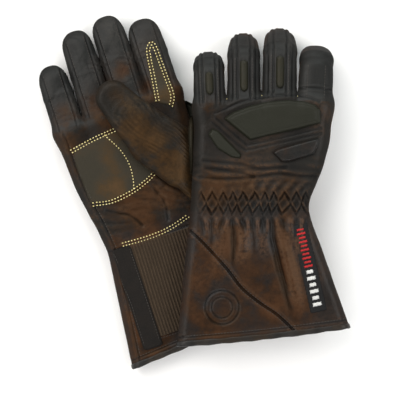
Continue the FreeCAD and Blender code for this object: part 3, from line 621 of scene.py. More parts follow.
def detail(glove, surface):
    """Moves the smooth leather in and out along its normals: seams, folds, gathers and creases."""
    p, n = surface.points, surface.normals
    u, v, uv = p[:, 0], p[:, 1], p[:, :2]
    back, palm = facing(n, True), facing(n, False)
    creases = crinkle(p, 15, 21, (1, 1.5, 1))
    total = 0.55 * noise(p, 26, 11) + 0.28 * noise(p, 11, 12)
    total += 0.22 * creases * (0.4 + 0.6 * np.abs(noise(p, 40, 31)))
    total += shirring(p, back) + long_folds(p, back) + emblem(p, back)
    fronts = 0.45 * noise(p, 10, 92) + 0.3 * crinkle(p, 13, 93, (1, 0.6, 1))
    total += palm * step(v, 96, 112) * fronts
    for inset, inner in ((EDGE_SEAM, False), (-EDGE_SEAM, True)):
        reach = (1 - step(v, 92, 104)) * (step(-v, 4, 20) if inner else 1)
        total += groove(np.abs(u - glove.edge(v, inner) - inset), 0.9) * palm * reach
    grooves = (
        (GUARD_RIDGES, 0.6, 1.1, back),
        (BACK_CREASES, 0.9, 1.3, back),
        ([DIAGONAL_SEAM], 1.5, 1.1, back),
        (PALM_CREASES, 0.8, 1.4, palm),
    )
    for lines, deep, wide, side in grooves:
        for line in lines:
            total += groove(line_distance(uv, smooth_line(line)), deep, wide) * side
    total += groove(np.abs(v - WRIST_SEAM), 0.7) * palm * step(-v, 8, 14)
    total += groove(np.abs(v - hem(u) - HEM_SEAM), 0.6) * np.maximum(back, palm)
    waves = np.sin(2 * math.pi * (v + 4 * noise(p, 18, 41)) / 7.5)
    total += 0.32 * waves * bump(v, 32, 13) * back
    waves = np.sin(2 * math.pi * (v + 0.3 * u + 5 * noise(p, 22, 42)) / 9)
    total += 0.3 * waves * bump(v, 14, 16) * palm
    # The inside of the cuff is left smooth.
    depth = glove.slab(*p.T)
    total *= np.minimum(step(depth, -WALL * 0.8, -WALL * 0.3) + step(v, 20, 60), 1)
    total += finger_details(glove, p, n)
    return Surface(p + n * total[:, None], surface.quads)


def thumb_lean(s, t):
    """Distances along the thumb towards its tip, and across it."""
    return s * 0.75 + t * 0.66, t * 0.75 - s * 0.66


def thumb_detail(glove, surface):
    """Creases across the thumb and a seam round its edge."""
    p, n = surface.points, surface.normals
    origin, away, fold, out = glove.thumb
    s, t, h = ((p - origin) @ axis for axis in (away, fold, out))
    lean, across = thumb_lean(s, t)
    total = 0.5 * noise(p, 18, 51) + 0.25 * noise(p, 8, 52) + 0.12 * crinkle(p, 12, 54, (1, 1, 1))
    waves = np.cos(2 * math.pi * (lean + 0.02 * across**2 + 6 * noise(p, 17, 53)) / 6.8)
    depth = 0.2 * np.clip(0.3 + noise(p, 20, 55), 0, 1)
    total += depth * waves * bump(lean, 62, 14) * step(np.abs(n @ out), 0.4, 0.8)
    fan = np.cos(2 * math.pi * (across * (1 - 0.006 * lean) + 3.5 * noise(p, 22, 56)) / 3.1)
    total += 0.3 * fan * np.clip(0.35 + noise(p, 13, 57), 0, 1) * (1 - step(lean, 54, 74))
    total += groove(np.abs(h - 1.5), 0.8) * step(s, 2, 10)
    return Surface(p + n * total[:, None], surface.quads)


# ---------------------------------------------------------------- materials


class Look:
    """A new material, and short ways to add nodes to it."""

    def __init__(self, name):
        self.material = bpy.data.materials.new(name)
        self.material.use_nodes = True
        self.tree = self.material.node_tree
        self.shader = self.tree.nodes["Principled BSDF"]

    def feed(self, socket, source):
        """Gives a socket a number, a colour or another node's output."""
        if isinstance(source, bpy.types.NodeSocket):
            self.tree.links.new(source, socket)
        else:
            socket.default_value = (*source, 1) if isinstance(source, tuple) else source

    def shade(self, name, source):
        self.feed(self.shader.inputs[name], source)

    def add(self, kind, **settings):
        """A new node. Each setting is one of its inputs or one of its options."""
        node = self.tree.nodes.new(kind)
        for key, setting in settings.items():
            if key in node.inputs:
                self.feed(node.inputs[key], setting)
            else:
                setattr(node, key, setting)
        return node

    def texture(self, kind, output, **settings):
        """A procedural texture on the piece's own coordinates."""
        place = self.tree.nodes.get("place") or self.add("ShaderNodeTexCoord", name="place")
        return self.add(kind, Vector=place.outputs["Object"], **settings).outputs[output]

    def clouds(self, scale, detail, roughness):
        return self.texture("ShaderNodeTexNoise", "Fac", Scale=scale, Detail=detail, Roughness=roughness)

    def cells(self, scale, feature):
        return self.texture("ShaderNodeTexVoronoi", "Distance", Scale=scale, feature=feature)

    def attribute(self, name):
        return self.add("ShaderNodeAttribute", attribute_name=name).outputs["Fac"]

    def ramp(self, source, low, high, dark=0.0, light=1.0):
        """Maps a value from low..high to dark..light."""
        node = self.add("ShaderNodeMapRange", clamp=True, Value=source)
        for key, number in (("From Min", low), ("From Max", high), ("To Min", dark), ("To Max", light)):
            node.inputs[key].default_value = number
        return node.outputs["Result"]

    def maths(self, operation, a, b):
        node = self.add("ShaderNodeMath", operation=operation)
        self.feed(node.inputs[0], a)
        self.feed(node.inputs[1], b)
        return node.outputs[0]

    def mix(self, share, a, b, blend="MIX"):
        """Mixes two colours."""
        node = self.add("ShaderNodeMix", data_type="RGBA", blend_type=blend)
        self.feed(node.inputs["Factor"], share)
        for socket, source in zip([s for s in node.inputs if s.type == "RGBA"], (a, b)):
            self.feed(socket, source)
        return [s for s in node.outputs if s.type == "RGBA"][0]

    def bumps(self, *layers):
        """Stacks bump maps: (height output, distance in metres, strength)."""
        normal = None
        for height, distance, strength in layers:
            node = self.add("ShaderNodeBump", Strength=strength, Distance=distance, Height=height)
            if normal:
                self.feed(node.inputs["Normal"], normal)
            normal = node.outputs["Normal"]
        self.shade("Normal", normal)


def leather(name, dark, warm, wear_and_highlight, rough, grain, gloss):
    """Grain leather: dark dye rubbed through to a warmer colour, creases darkened by painted shade, and
    raised edges lightened to the worn colour, partly wear and partly painted highlight.

    Reads "warm", "dent" and "dull" at each point: the warmer dye's share, how far the leather stands
    out of its smooth form, and how matt it is.
    """
    look = Look(name)
    cloud, fine = look.clouds(42, 5, 0.6), look.clouds(320, 4, 0.65)
    cells = look.cells(820, "SMOOTH_F1")
    share = look.maths("MULTIPLY", look.attribute("warm"), look.ramp(cloud, 0.36, 0.62, 0.08, 1.2))
    share = look.maths("MULTIPLY", share, look.ramp(fine, 0.3, 0.7, 0.6, 1.0))
    colour = look.mix(share, dark, warm)
    # Raised ridges take the worn colour, partly as wear and partly as a painted highlight.
    ridge_wear_and_highlight = look.ramp(look.attribute("dent"), 0.15, 1.1, 0, 0.9)
    ridge_wear_and_highlight = look.maths("MULTIPLY", ridge_wear_and_highlight, look.ramp(fine, 0.35, 0.6))
    colour = look.mix(ridge_wear_and_highlight, colour, wear_and_highlight)
    # Painted shade: the colour is darkened where the leather sinks below its smooth form, in creases and
    # folds.
    valley_shade = look.ramp(look.attribute("dent"), -0.8, 0.05, 0.2, 1.0)
    shadow = look.add("ShaderNodeCombineColor", Red=valley_shade, Green=valley_shade, Blue=valley_shade).outputs[0]
    look.shade("Base Color", look.mix(1.0, colour, shadow, "MULTIPLY"))
    polish = look.ramp(fine, 0.3, 0.7, rough - 0.07, rough + 0.1)
    dull = look.maths("MULTIPLY", look.attribute("dull"), 0.45)
    look.shade("Roughness", look.maths("ADD", polish, dull))
    look.shade("Specular IOR Level", gloss)
    look.shade("Specular Tint", look.mix(look.ramp(share, 0.1, 0.5), (1, 1, 1), (1, 0.72, 0.5)))
    look.bumps((cells, 0.00014, grain), (fine, 0.00012, 0.4), (cloud, 0.0009, 0.3))
    return look.material


def cloth(name, colour, other, rough, weave, sheen, strength):
    """Matte cloth with a woven or fuzzy surface and uneven colour, darkened by painted shade in its
    valleys, most where the valley attribute is 1.
    """
    look = Look(name)
    cloud, fibre = look.clouds(90, 4, 0.6), look.clouds(1500, 3, 0.7)
    threads = look.cells(weave, "F1")
    dark = tuple(0.55 * c for c in other)
    colour = look.mix(look.ramp(cloud, 0.3, 0.7), colour, other)
    colour = look.mix(look.ramp(threads, 0.2, 0.7, 0, 0.6), colour, dark)
    # Painted shade: the colour is darkened in the cloth's valleys.
    valley_shade = look.ramp(look.attribute("valley_shade"), 0, 1, 0, 0.85)
    look.shade("Base Color", look.mix(valley_shade, colour, dark))
    look.shade("Roughness", look.ramp(fibre, 0.3, 0.7, rough - 0.08, min(rough + 0.08, 1)))
    look.shade("Specular IOR Level", 0.25)
    look.shade("Sheen Weight", sheen)
    look.shade("Sheen Roughness", 0.5)
    look.bumps((threads, 0.0003, strength), (fibre, 0.0002, 0.5))
    return look.material


def thread(name, colour, other):
    """Twisted sewing thread."""
    look = Look(name)
    twist = look.clouds(900, 2, 0.5)
    look.shade("Base Color", look.mix(look.ramp(twist, 0.35, 0.65), colour, other))
    look.shade("Roughness", look.ramp(twist, 0.3, 0.7, 0.5, 0.75))
    look.bumps((twist, 0.0002, 0.6))
    return look.material


# Each leather's dark dye, warm dye, colour of worn edges that also serves as a painted highlight,
# roughness, grain and gloss.
LEATHERS = {
    "black": ((0.0092, 0.0096, 0.009), (0.036, 0.016, 0.009), (0.03, 0.028, 0.025), 0.36, 0.9, 0.18),
    "brown": ((0.008, 0.007, 0.0055), (0.036, 0.016, 0.007), (0.05, 0.027, 0.014), 0.34, 0.9, 0.17),
    "cuff": ((0.009, 0.0065, 0.0052), (0.04, 0.017, 0.0076), (0.058, 0.029, 0.015), 0.33, 0.9, 0.19),
    "thumb": ((0.009, 0.0075, 0.0055), (0.041, 0.0215, 0.0085), (0.055, 0.034, 0.016), 0.4, 0.9, 0.14),
    "guard": ((0.0135, 0.0138, 0.0085), (0.021, 0.019, 0.012), (0.035, 0.035, 0.024), 0.5, 0.6, 0.17),
    "patch": ((0.024, 0.02, 0.012), (0.056, 0.033, 0.015), (0.06, 0.045, 0.028), 0.6, 0.8, 0.18),
    "binding": ((0.008, 0.0078, 0.0075), (0.016, 0.012, 0.009), (0.04, 0.032, 0.025), 0.45, 0.9, 0.3),
}
# Each cloth's two colours, roughness, weave, sheen and strength of the weave.
CLOTHS = {
    "ribbed_fabric": ((0.06, 0.038, 0.021), (0.044, 0.028, 0.015), 0.85, 1300, 0.03, 0.6),
    "lining_fabric": ((0.018, 0.017, 0.016), (0.01, 0.01, 0.01), 0.85, 1300, 0.15, 0.6),
    "flap_fabric": ((0.011, 0.008, 0.006), (0.007, 0.0055, 0.0045), 0.9, 1000, 0.0, 0.6),
    "label_fabric": ((0.007, 0.007, 0.007), (0.0045, 0.0045, 0.005), 0.75, 1500, 0.0, 0.4),
    "label_red": ((0.52, 0.012, 0.016), (0.4, 0.01, 0.012), 0.6, 1500, 0.1, 0.4),
    "label_white": ((0.72, 0.72, 0.7), (0.6, 0.6, 0.58), 0.6, 1500, 0.1, 0.4),
}
THREADS = {
    "yellow_thread": ((0.78, 0.68, 0.34), (0.56, 0.46, 0.18)),
    "dark_thread": ((0.035, 0.028, 0.022), (0.02, 0.016, 0.013)),
}
MATERIALS = {f"{name}_leather": leather(f"{name} leather", *look) for name, look in LEATHERS.items()}
MATERIALS |= {name: cloth(name.replace("_", " "), *look) for name, look in CLOTHS.items()}
MATERIALS |= {name: thread(name.replace("_", " "), *look) for name, look in THREADS.items()}


# ---------------------------------------------------------------- putting pieces in the scene


def new_piece(name, points, quads, material, normals, values):
    """A mesh in row metres with smooth shading and a value for each point."""
    mesh = bpy.data.meshes.new(name)
    mesh.vertices.add(len(points))
    mesh.vertices.foreach_set("co", np.asarray(points, np.float32).ravel())
    mesh.loops.add(quads.size)
    mesh.loops.foreach_set("vertex_index", quads.astype(np.int32).ravel())
    mesh.polygons.add(len(quads))
    mesh.polygons.foreach_set("loop_start", np.arange(0, quads.size, quads.shape[1], dtype=np.int32))
    mesh.polygons.foreach_set("use_smooth", np.ones(len(quads), bool))
    mesh.update(calc_edges=True)
    for key, value in values.items():
        mesh.attributes.new(key, "FLOAT", "POINT").data.foreach_set("value", value.astype(np.float32))
    mesh.normals_split_custom_set_from_vertices(normals.tolist())
    mesh.materials.append(MATERIALS[material])
    piece = bpy.data.objects.new(name, mesh)
    bpy.context.scene.collection.objects.link(piece)
    return piece


def label_of(glove, points):
    """Which part of the glove each point belongs to: cuff, hand, or a finger's near or tip part."""
    labels = np.where(points[:, 1] < -4, 0, 1)
    sideways = np.stack([np.abs((points - d[0][0]) @ d[0][1]) for d in glove.digits.values()], 1)
    nearest = sideways.argmin(1)
    for k, finger in enumerate(FINGERS):
        near, _ = glove.digits[finger]
        s = (points - near[0]) @ near[2]
        mine = (nearest == k) & (points[:, 1] > 60)
        labels[mine & (s > -9)] = 2 + 2 * k
        labels[mine & (s > near[4] / 2)] = 3 + 2 * k
    return labels


PART_NAMES = ["cuff", "hand"] + [f"{finger}_{part}" for finger in FINGERS for part in ("near", "tip")]


def attach(glove, piece, part):
    """Attaches a piece of the cuff, the hand or the flap to its body; a thumb or finger piece only has its
    transform baked into its mesh.
    """
    hand = glove.hand
    if part in ("cuff", "hand", "flap"):
        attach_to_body(piece, f"{hand}_flap" if part == "flap" else f"{hand}_hand")
        return
    if part == "thumb":
        centre, across = glove.thumb[:2]
        low, high = -2, 13
    else:
        finger, which = part.split("_")
        near, far = glove.digits[finger]
        if which == "near":
            centre, across = near[0], near[2]
            low, high = (-7, 9) if hand == "right" else (-4, 11)
        else:
            centre, across = far[0], near[2] + far[2]
            across = across / np.linalg.norm(across)
            low, high = -8, 8
    ends = [Vector(glove.world(centre + s * across)) for s in (low, high)]
    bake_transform(piece)


def place(glove, surface, name, material, slot, values=None, parts=None):
    """Puts a surface in the scene, cut where the glove's parts meet. Returns the pieces by part."""
    points = glove.world(surface.points)
    normals = surface.normals @ glove.axes
    quads = surface.quads if glove.hand == "left" else surface.quads[:, ::-1]
    if parts is None:
        labels = label_of(glove, surface.points[surface.quads].mean(1))
        parts = [(PART_NAMES[k], labels == k) for k in np.unique(labels)]
    made = {}
    for part, chosen in parts:
        some = quads[chosen]
        used, packed = np.unique(some, return_inverse=True)
        title = f"{glove.hand}_{name}" if name == part else f"{glove.hand}_{part}_{name}"
        kept = {key: value[used] for key, value in (values or {}).items()}
        packed = packed.reshape(some.shape)
        piece = new_piece(title, points[used], packed, material, normals[used], kept)
        attach(glove, piece, part)
        made[part] = piece
    return made


def place_whole(glove, surface, name, material, slot, part, values=None):
    """Puts a surface in the scene as one piece, which belongs to one part of the glove."""
    every = np.ones(len(surface.quads), bool)
    return place(glove, surface, name, material, slot, values, [(part, every)])[part]


# ---------------------------------------------------------------- pads, patches and stitches


class Skin:
    """Finds the glove's surface from straight above or below a point in plan."""

    def __init__(self, surface):
        self.tree = surface.tree()

    def hit(self, u, v, back):
        sign = 1 if back else -1
        spot, normal, _, _ = self.tree.ray_cast(Vector((u, v, 80 * sign)), Vector((0, 0, -sign)))
        return (None, None) if spot is None else (np.array(spot), np.array(normal))

    def heights(self, uv, back):
        """w of the surface at each point, and the last known one where it misses."""
        found, last = np.zeros(len(uv)), 0.0
        for k, (u, v) in enumerate(uv):
            at, _ = self.hit(u, v, back)
            last = last if at is None else at[2]
            found[k] = last
        return found


def sheet_points(outline, spacing):
    """Grid points and quads inside an outline, with the border points moved onto it."""
    low, high = outline.min(0) - spacing, outline.max(0) + spacing
    counts = ((high - low) / spacing).astype(int) + 1
    lines = [start + spacing * np.arange(n) for start, n in zip(low, counts)]
    flat = np.stack(np.meshgrid(*lines, indexing="ij"), -1).reshape(-1, 2)
    d = polygon_distance(flat, outline)
    index = np.arange(len(flat)).reshape(counts)
    corners = (index[:-1, :-1], index[1:, :-1], index[1:, 1:], index[:-1, 1:])
    quads = np.stack(corners, -1).reshape(-1, 4)
    quads = quads[(d[quads] > -0.55 * spacing).all(1)]
    used, packed = np.unique(quads, return_inverse=True)
    points, quads = flat[used], packed.reshape(-1, 4)
    edges = np.sort(np.vstack([quads[:, [k, (k + 1) % 4]] for k in range(4)]), axis=1)
    pairs, times = np.unique(edges, axis=0, return_counts=True)
    border = np.unique(pairs[times == 1])
    points[border] = nearest_on(points[border], np.vstack([outline, outline[:1]]))[0]
    return points, quads


def dome(distance, height, radius, crown, base):
    """A pad's height above the leather, rounded over at its outline."""
    rounding = np.sqrt(np.maximum(1 - (1 - np.clip(distance / radius, 0, 1)) ** 2, 0))
    return base + (height - base) * rounding + crown * step(distance, 0, 16)


def pad(skin, outline, back, height, radius, spacing, crown=0.0, shape=None, gap=None, sharp=False):
    """A raised piece that follows the leather under it, or a closed one that lies a gap above it."""
    outline = np.array(outline, float)
    if len(outline) > 4 and not sharp:
        outline = smooth_line(np.vstack([outline, outline[:1]]), 1.2)[:-1]
    points, quads = sheet_points(outline, spacing)
    d = np.maximum(polygon_distance(points, outline), 0)
    rise = dome(d, height, radius, crown, -1.0 if gap is None else gap)
    if shape is not None:
        rise = rise + shape(points, d)
    sign = 1 if back else -1
    under = skin.heights(points, back)
    top = np.column_stack([points, under + sign * rise])
    if not back:
        quads = quads[:, ::-1]
    if gap is not None:
        bottom = np.column_stack([points, under + sign * gap])
        quads = np.vstack([quads, quads[:, ::-1] + len(points)])
        top = np.vstack([top, bottom])
    return Surface(top, quads)


class Stitches:
    """Collects stitches, sorted by their thread and the part of the glove they lie on."""

    def __init__(self, glove, skin):
        self.glove, self.skin = glove, skin
        self.rows = {}

    def row(self, style, line, back, part=None, lift=0.0):
        """Stitches along a line on the back or on the palm side."""
        thread_name, pitch, length, radius = style
        line = smooth_line(line, 0.5)
        s = along(line)
        for at in np.arange(pitch / 2, s[-1], pitch):
            centre, ahead, behind = (
                np.array([np.interp(x, s, line[:, k]) for k in (0, 1)])
                for x in (at, min(at + 0.5, s[-1]), max(at - 0.5, 0))
            )
            spot, normal = self.skin.hit(*centre, back)
            if spot is None or abs(normal[2]) < 0.2:
                continue
            tangent = np.array([*(ahead - behind), 0])
            tangent -= normal * (tangent @ normal)
            tangent /= np.linalg.norm(tangent)
            self.one(thread_name, spot + normal * lift, tangent, normal, length, radius, part)

    def one(self, thread_name, centre, tangent, normal, length, radius, part):
        """A stitch: four rings of points, the outer two sunk into the leather."""
        side = np.cross(normal, tangent)
        points = []
        for share, size, height in ((-0.5, 0.5, -0.5), (-0.28, 1, 0.35), (0.28, 1, 0.35), (0.5, 0.5, -0.5)):
            middle = centre + share * length * tangent + height * radius * normal
            for k in range(6):
                angle = k * math.pi / 3
                points.append(middle + size * radius * (math.cos(angle) * side + math.sin(angle) * normal))
        if part is None:
            part = PART_NAMES[label_of(self.glove, centre[None])[0]]
        self.rows.setdefault((thread_name, part), []).append(points)

    def place(self):
        """Puts each thread's stitches on each part of the glove in the scene as one piece."""
        ring, beside = np.arange(6), (np.arange(6) + 1) % 6
        sides = [np.stack([ring, beside, 6 + beside, 6 + ring], 1) + 6 * k for k in range(3)]
        quads = np.vstack(sides)
        for (thread_name, part), rows in sorted(self.rows.items()):
            points = np.array(rows).reshape(-1, 3)
            every = (quads[None] + 24 * np.arange(len(rows))[:, None, None]).reshape(-1, 4)
            slot = "patch_leather" if thread_name == "yellow_thread" else "black_leather"
            place_whole(self.glove, Surface(points, every), thread_name, thread_name, slot, part)


def offset_line(line, distance):
    """A line beside another one."""
    line = smooth_line(line, 2.0)
    run = np.gradient(line, axis=0)
    run /= np.linalg.norm(run, axis=1, keepdims=True)
    return line + distance * np.column_stack([-run[:, 1], run[:, 0]])


def turned(points, turn, centre):
    """Points turned by an angle in degrees and moved to a centre."""
    c, s = math.cos(math.radians(turn)), math.sin(math.radians(turn))
    return np.array(points, float) @ np.array([[c, s], [-s, c]]) + np.array(centre)


def box_outline(u0, u1, v0, v1, turn=0.0, centre=(0, 0)):
    return turned([(u0, v0), (u1, v0), (u1, v1), (u0, v1)], turn, centre)


def round_box(u0, u1, v0, v1, radius, turn=0.0, centre=(0, 0)):
    """A rectangle's outline with rounded corners, as points."""
    points = []
    for corner in range(4):
        cu = u1 - radius if corner in (0, 3) else u0 + radius
        cv = v1 - radius if corner in (0, 1) else v0 + radius
        for k in range(5):
            angle = math.radians(90 * corner + 22.5 * k)
            points.append((cu + radius * math.cos(angle), cv + radius * math.sin(angle)))
    return turned(points, turn, centre)


# ---------------------------------------------------------------- building one glove


def colour_values(glove, surface, smooth):
    """How warm and how matt the leather is at each point, and how far it stands out of the smooth form."""
    p, n = surface.points, smooth.normals
    u, v = p[:, 0], p[:, 1]
    back, palm = facing(n, True), facing(n, False)
    warm = 0.05 + 1.05 * np.clip(0.5 + 0.9 * noise(p, 26, 61), 0, 1)
    fingers = step(v, 92, 104)
    cool_back = fingers * 0.92 + (1 - fingers) * step(v + 9 * noise(p, 15, 65), 34, 54) * 0.8
    cool_back *= back * (1 - 0.7 * bump(np.hypot(u + 33, v - 90), 0, 9))
    from_thumb, from_little = u - glove.edge(v, True), u - glove.edge(v, False)
    warm *= (1 - cool_back) * (1 - 0.75 * step(from_thumb, -26, -6) * back)
    warm *= 1 - 0.6 * (1 - step(from_little, 4, 11))
    warm *= 1 + 0.25 * noise(p, 9, 62)
    warm *= 1 - 0.7 * palm * step(v, 112, 130)
    for spots, side in ((WORN_BACK, back), (WORN_PALM, palm)):
        for spot_u, spot_v, radius, amount in spots:
            warm += amount * side * bump(np.hypot(u - spot_u, v - spot_v), 0, radius)
    warm *= 1 - 0.95 * back * step(from_thumb, -34, -22) * step(-v, 8, 20)
    gathered, below_guard = back * bump(v, 6, 17), back * bump(v, 33, 13)
    warm *= 1 - 0.45 * gathered - 0.5 * back * bump(v, 36, 16)
    dull = 1 - 0.85 * step(np.abs(n[:, 2]), 0.5, 0.95) * (1 - 0.5 * gathered) * (1 - 0.6 * below_guard)
    dent = np.einsum("ij,ij->i", p - smooth.points, n)
    return {"warm": np.clip(warm, 0, 1.3), "dent": dent, "dull": dull}


def plain(surface, warm):
    """The same warmth all over a piece, and no dents."""
    count = len(surface.points)
    return {"warm": np.full(count, warm), "dent": np.zeros(count)}


def guards(glove, skin):
    """The knuckle guard and its two side pads, on the back of the hand."""

    def rim(points, d):
        return -0.5 * bump(d, 3.6, 0.9) - 0.3 * step(d, 4, 14)

    pads = (
        # Name, outline, shape, height, edge radius, crown, material, warmth and the node it stands for.
        ("knuckle_guard", GUARD_MAIN, rim, 4.0, 3.4, 0.9, "guard_leather", 0.0, "knuckle_guard"),
        ("guard_side_pads_1", GUARD_OUTER, None, 3.2, 3.0, 0.8, "guard_leather", 0.0, "guard_side_pads"),
        ("guard_side_pads_2", GUARD_INNER, None, 3.2, 3.0, 0.8, "black_leather", 0.35, None),
    )
    for name, outline, shape, height, radius, crown, material, warm, node in pads:
        surface = pad(skin, outline, True, height, radius, 0.7, crown, shape, sharp=True)
        piece = place_whole(glove, surface, name, material, "guard_leather", "hand", plain(surface, warm))
        if node:
            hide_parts(f"{glove.hand}_{node}")


def finger_pads(glove, skin):
    """A long pad with cut corners on the back of each finger but the index."""
    half = 3.9
    corner = 0.7 * half
    for finger in ("little", "ring", "middle"):
        knuckle, across, near, _, length = glove.digits[finger][0]
        outline = [(-half, 5), (-corner, 1.5), (0, 0), (corner, 1.5), (half, 5)]
        outline += [(half, length - 6), (corner, length - 3), (0, length - 2)]
        outline += [(-corner, length - 3), (-half, length - 6)]
        outline = [(knuckle + a * across + (s + 1) * near)[:2] for a, s in outline]
        surface = pad(skin, outline, True, height=2.7, radius=3.2, spacing=0.6, crown=0.9)
        name, part, material = f"{finger}_pad", f"{finger}_near", "guard_leather"
        piece = place_whole(glove, surface, name, material, material, part, plain(surface, 0.3))
        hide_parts(f"{glove.hand}_{name}")


def patches(glove, skin, stitches):
    """The palm patch and the index finger's patch, with their yellow stitching."""
    surface = pad(skin, PALM_PATCH, False, height=0.7, radius=1.2, spacing=1.0)
    near_row = bump(np.hypot(surface.points[:, 0] + 28, surface.points[:, 1] - 34), 0, 13)
    warm = np.clip(0.3 + 1.2 * noise(surface.points, 17, 71) + 1.3 * near_row, 0, 1.8)
    values = plain(surface, 0) | {"warm": warm}
    piece = place_whole(glove, surface, "palm_patch", "patch_leather", "patch_leather", "hand", values)
    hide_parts(f"{glove.hand}_palm_patch")

    knuckle, across, near, _, length = glove.digits["index"][0]
    reach = 40 if glove.hand == "right" else 0.6 * length
    row = [(knuckle + a * across + min(s, reach) * near)[:2] for a, s in INDEX_ROW]
    outline = offset_line(smooth_line(row, 2.0), 2.2)
    surface = pad(skin, outline, False, height=0.6, radius=1.0, spacing=0.8)
    values = plain(surface, 0) | {"warm": 0.5 + 0.8 * noise(surface.points, 18, 72)}
    made = place(glove, surface, "index_patch", "patch_leather", "patch_leather", values)
    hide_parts(f"{glove.hand}_index_patch")

    top_row = [(-54, 81), (-30, 85.5), (-7, 88)]
    bottom_row = [(-50, 29), (-34, 26), (-14, 28), (3, 33.5), (18, 41)]
    wrist_row = [(-36, -15), (-9, -16), (11.5, -14), (31, -8.5)]
    for line, lift in ((top_row, 0.9), (bottom_row, 0.9), (wrist_row, 0)):
        for shift in (-1.4, 1.4):
            stitches.row(PATCH_ROW, offset_line(line, shift), False, lift=lift)
    side_row = [(-20, 87), (-10, 69), (-6, 53), (-7, 39), (-9, 31)]
    stitches.row(PATCH_ROW, side_row, False, lift=0.7)
    for inset in (0, 2.9):
        stitches.row(PATCH_ROW, offset_line(smooth_line(row, 1.5), -inset), False, lift=0.6)


def cuff_sheet(glove, piece, size, held, *nodes):
    """A flat sheet on the cuff: hides the CAD nodes it stands for. Its size in millimetres is not used."""
    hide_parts(*(f"{glove.hand}_{node}" for node in nodes))


def ribbed_panel(glove, skin, stitches):
    """The ribbed stretch panel on the palm side of the cuff, sewn down on three sides."""
    u0, u1, v0, v1 = RIBBED

    def wave(points):
        wander = 0.35 * np.sin(points[:, 1] / 17)
        return np.cos(2 * math.pi * (points[:, 0] + wander) / RIB_PITCH)

    def ribs(points, d):
        return 0.8 * wave(points) * step(d, 0, 1.5)

    surface = pad(skin, box_outline(*RIBBED), False, height=0.9, radius=1.2, spacing=0.6, shape=ribs)
    # Painted shade for the cloth: how deep each point lies in a valley between the ribs.
    valley_shade = {"valley_shade": step(-wave(surface.points), -0.4, 0.8)}
    name = "ribbed_panel"
    piece = place_whole(glove, surface, name, "ribbed_fabric", "ribbed_fabric", "cuff", valley_shade)
    cuff_sheet(glove, piece, (u1 - u0, v1 - v0), "stretched", name)
    edges = (
        [(u0, v1 + 1.2), (u1, v1 + 1.2)],
        [(u0, v0 - 1.2), (u1, v0 - 1.2)],
        [(u1 + 1.2, v0), (u1 + 1.2, v1)],
    )
    for line in edges:
        stitches.row(PANEL_ROW, line, False)


def closure_flap(glove, skin, stitches):
    """The closure flap, which turns on its hinge and lies a little above the cuff."""
    u0, u1, v0, v1 = FLAP
    surface = pad(skin, round_box(*FLAP, 4), False, height=1.9, radius=0.9, spacing=1.0, gap=FLAP_GAP)
    piece = place_whole(glove, surface, "closure_flap", "flap_fabric", "flap_fabric", "flap")
    cuff_sheet(glove, piece, (u1 - u0, v1 - v0), "laid", "closure_flap", "hook_tape")
    for u in (u0 + 1.8, u1 - 1.8):
        stitches.row(FLAP_ROW, [(u, v0 + 4), (u, v1 - 4)], False, "flap", 1.85)


def woven_label(glove, skin):
    """The label on the cuff's back, with plain coloured blocks woven into it."""
    across, along_it = LABEL_WIDTH / 2, LABEL_LENGTH / 2
    outline = round_box(-across, across, -along_it, along_it, 1, LABEL_LEAN, LABEL_CENTRE)
    surface = pad(skin, outline, True, height=0.7, radius=0.8, spacing=0.9)
    piece = place_whole(glove, surface, "woven_label", "label_fabric", "label_fabric", "cuff")
    cuff_sheet(glove, piece, (LABEL_WIDTH, LABEL_LENGTH), "laid", "woven_label")
    blocks = [
        (colour, first + pitch * k, length, half - BLOCK_STEP * (k % 2))
        for colour, count, first, pitch, length, half in LABEL_BLOCKS
        for k in range(count)
    ]
    for k, (colour, low, length, half) in enumerate(blocks):
        outline = box_outline(-half, half, low, low + length, LABEL_LEAN, LABEL_CENTRE)
        surface = pad(skin, outline, True, height=1.35, radius=0.5, spacing=0.7)
        place_whole(glove, surface, f"label_block_{k}", colour, "label_fabric", "cuff")


def hem_binding(glove):
    """The folded binding round the cuff's mouth, over both faces of the leather."""
    low = np.array([-72.0, -134.0, -24.0])
    high = np.array([102.0, -98.0, 24.0])
    voxel = VOXEL * 0.8
    u, v, w = grid_axes(low, high, voxel)
    ripple = 0.25 * np.sin(u / 3.1) + 0.2 * np.sin(u / 7.3 + w)
    across = np.abs(glove.slab(u, v, w) + 0.75) - 1.75 + 0.2 * ripple
    length = np.abs(v - hem(u) - 1.2) - 2.9 - ripple
    surface = surface_of(smooth_max(across, length, 1.6), low, voxel)
    p = surface.points
    values = {"warm": 0.5 + 0.5 * noise(p, 25, 81), "dent": 0.6 * noise(p, 6, 82)}
    name, material = "hem_binding", "binding_leather"
    piece = place_whole(glove, surface, name, material, material, "cuff", values)
    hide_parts(f"{glove.hand}_{name}")


def seams(glove, stitches):
    """Dark stitching along the seams of the back, the cuff and the fingers."""
    vs = np.arange(-116, 92, 4.0)
    outer = np.column_stack([glove.edge(vs, False) + EDGE_SEAM + 1.6, vs])
    inner = np.column_stack([glove.edge(vs, True) - EDGE_SEAM - 1.6, vs])
    for line in (outer, inner[vs < -8]):
        stitches.row(SEAM_ROW, line, False)
    for shift in (1.8, -1.8):
        stitches.row(SEAM_ROW, offset_line(DIAGONAL_SEAM, shift), True)
    us = np.arange(-58, 92, 4.0)
    for back in (True, False):
        stitches.row(SEAM_ROW, np.column_stack([us, hem(us) + HEM_SEAM + 1.2]), back)
    roots = [glove.digits[finger][0][0] for finger in FINGERS]
    for a, b in zip(roots, roots[1:]):
        u, v = (a + b)[:2] / 2
        stitches.row(WEB_DOT, [(u - 0.7, v - 4), (u + 0.7, v - 4)], True)
    for finger in FINGERS:
        for which, (origin, across, along_it, _, length) in enumerate(glove.digits[finger]):
            if which == 1 and glove.hand == "left":
                continue
            reach = (-4, length) if which == 0 else (0, length - 9)
            for back, inset in ((False, FINGER_HALF_WIDTH[finger] - 7.2), (True, 7.9)):
                for side in (-inset, inset):
                    line = [(origin + side * across + s * along_it)[:2] for s in reach]
                    stitches.row(FINGER_ROW, line, back)


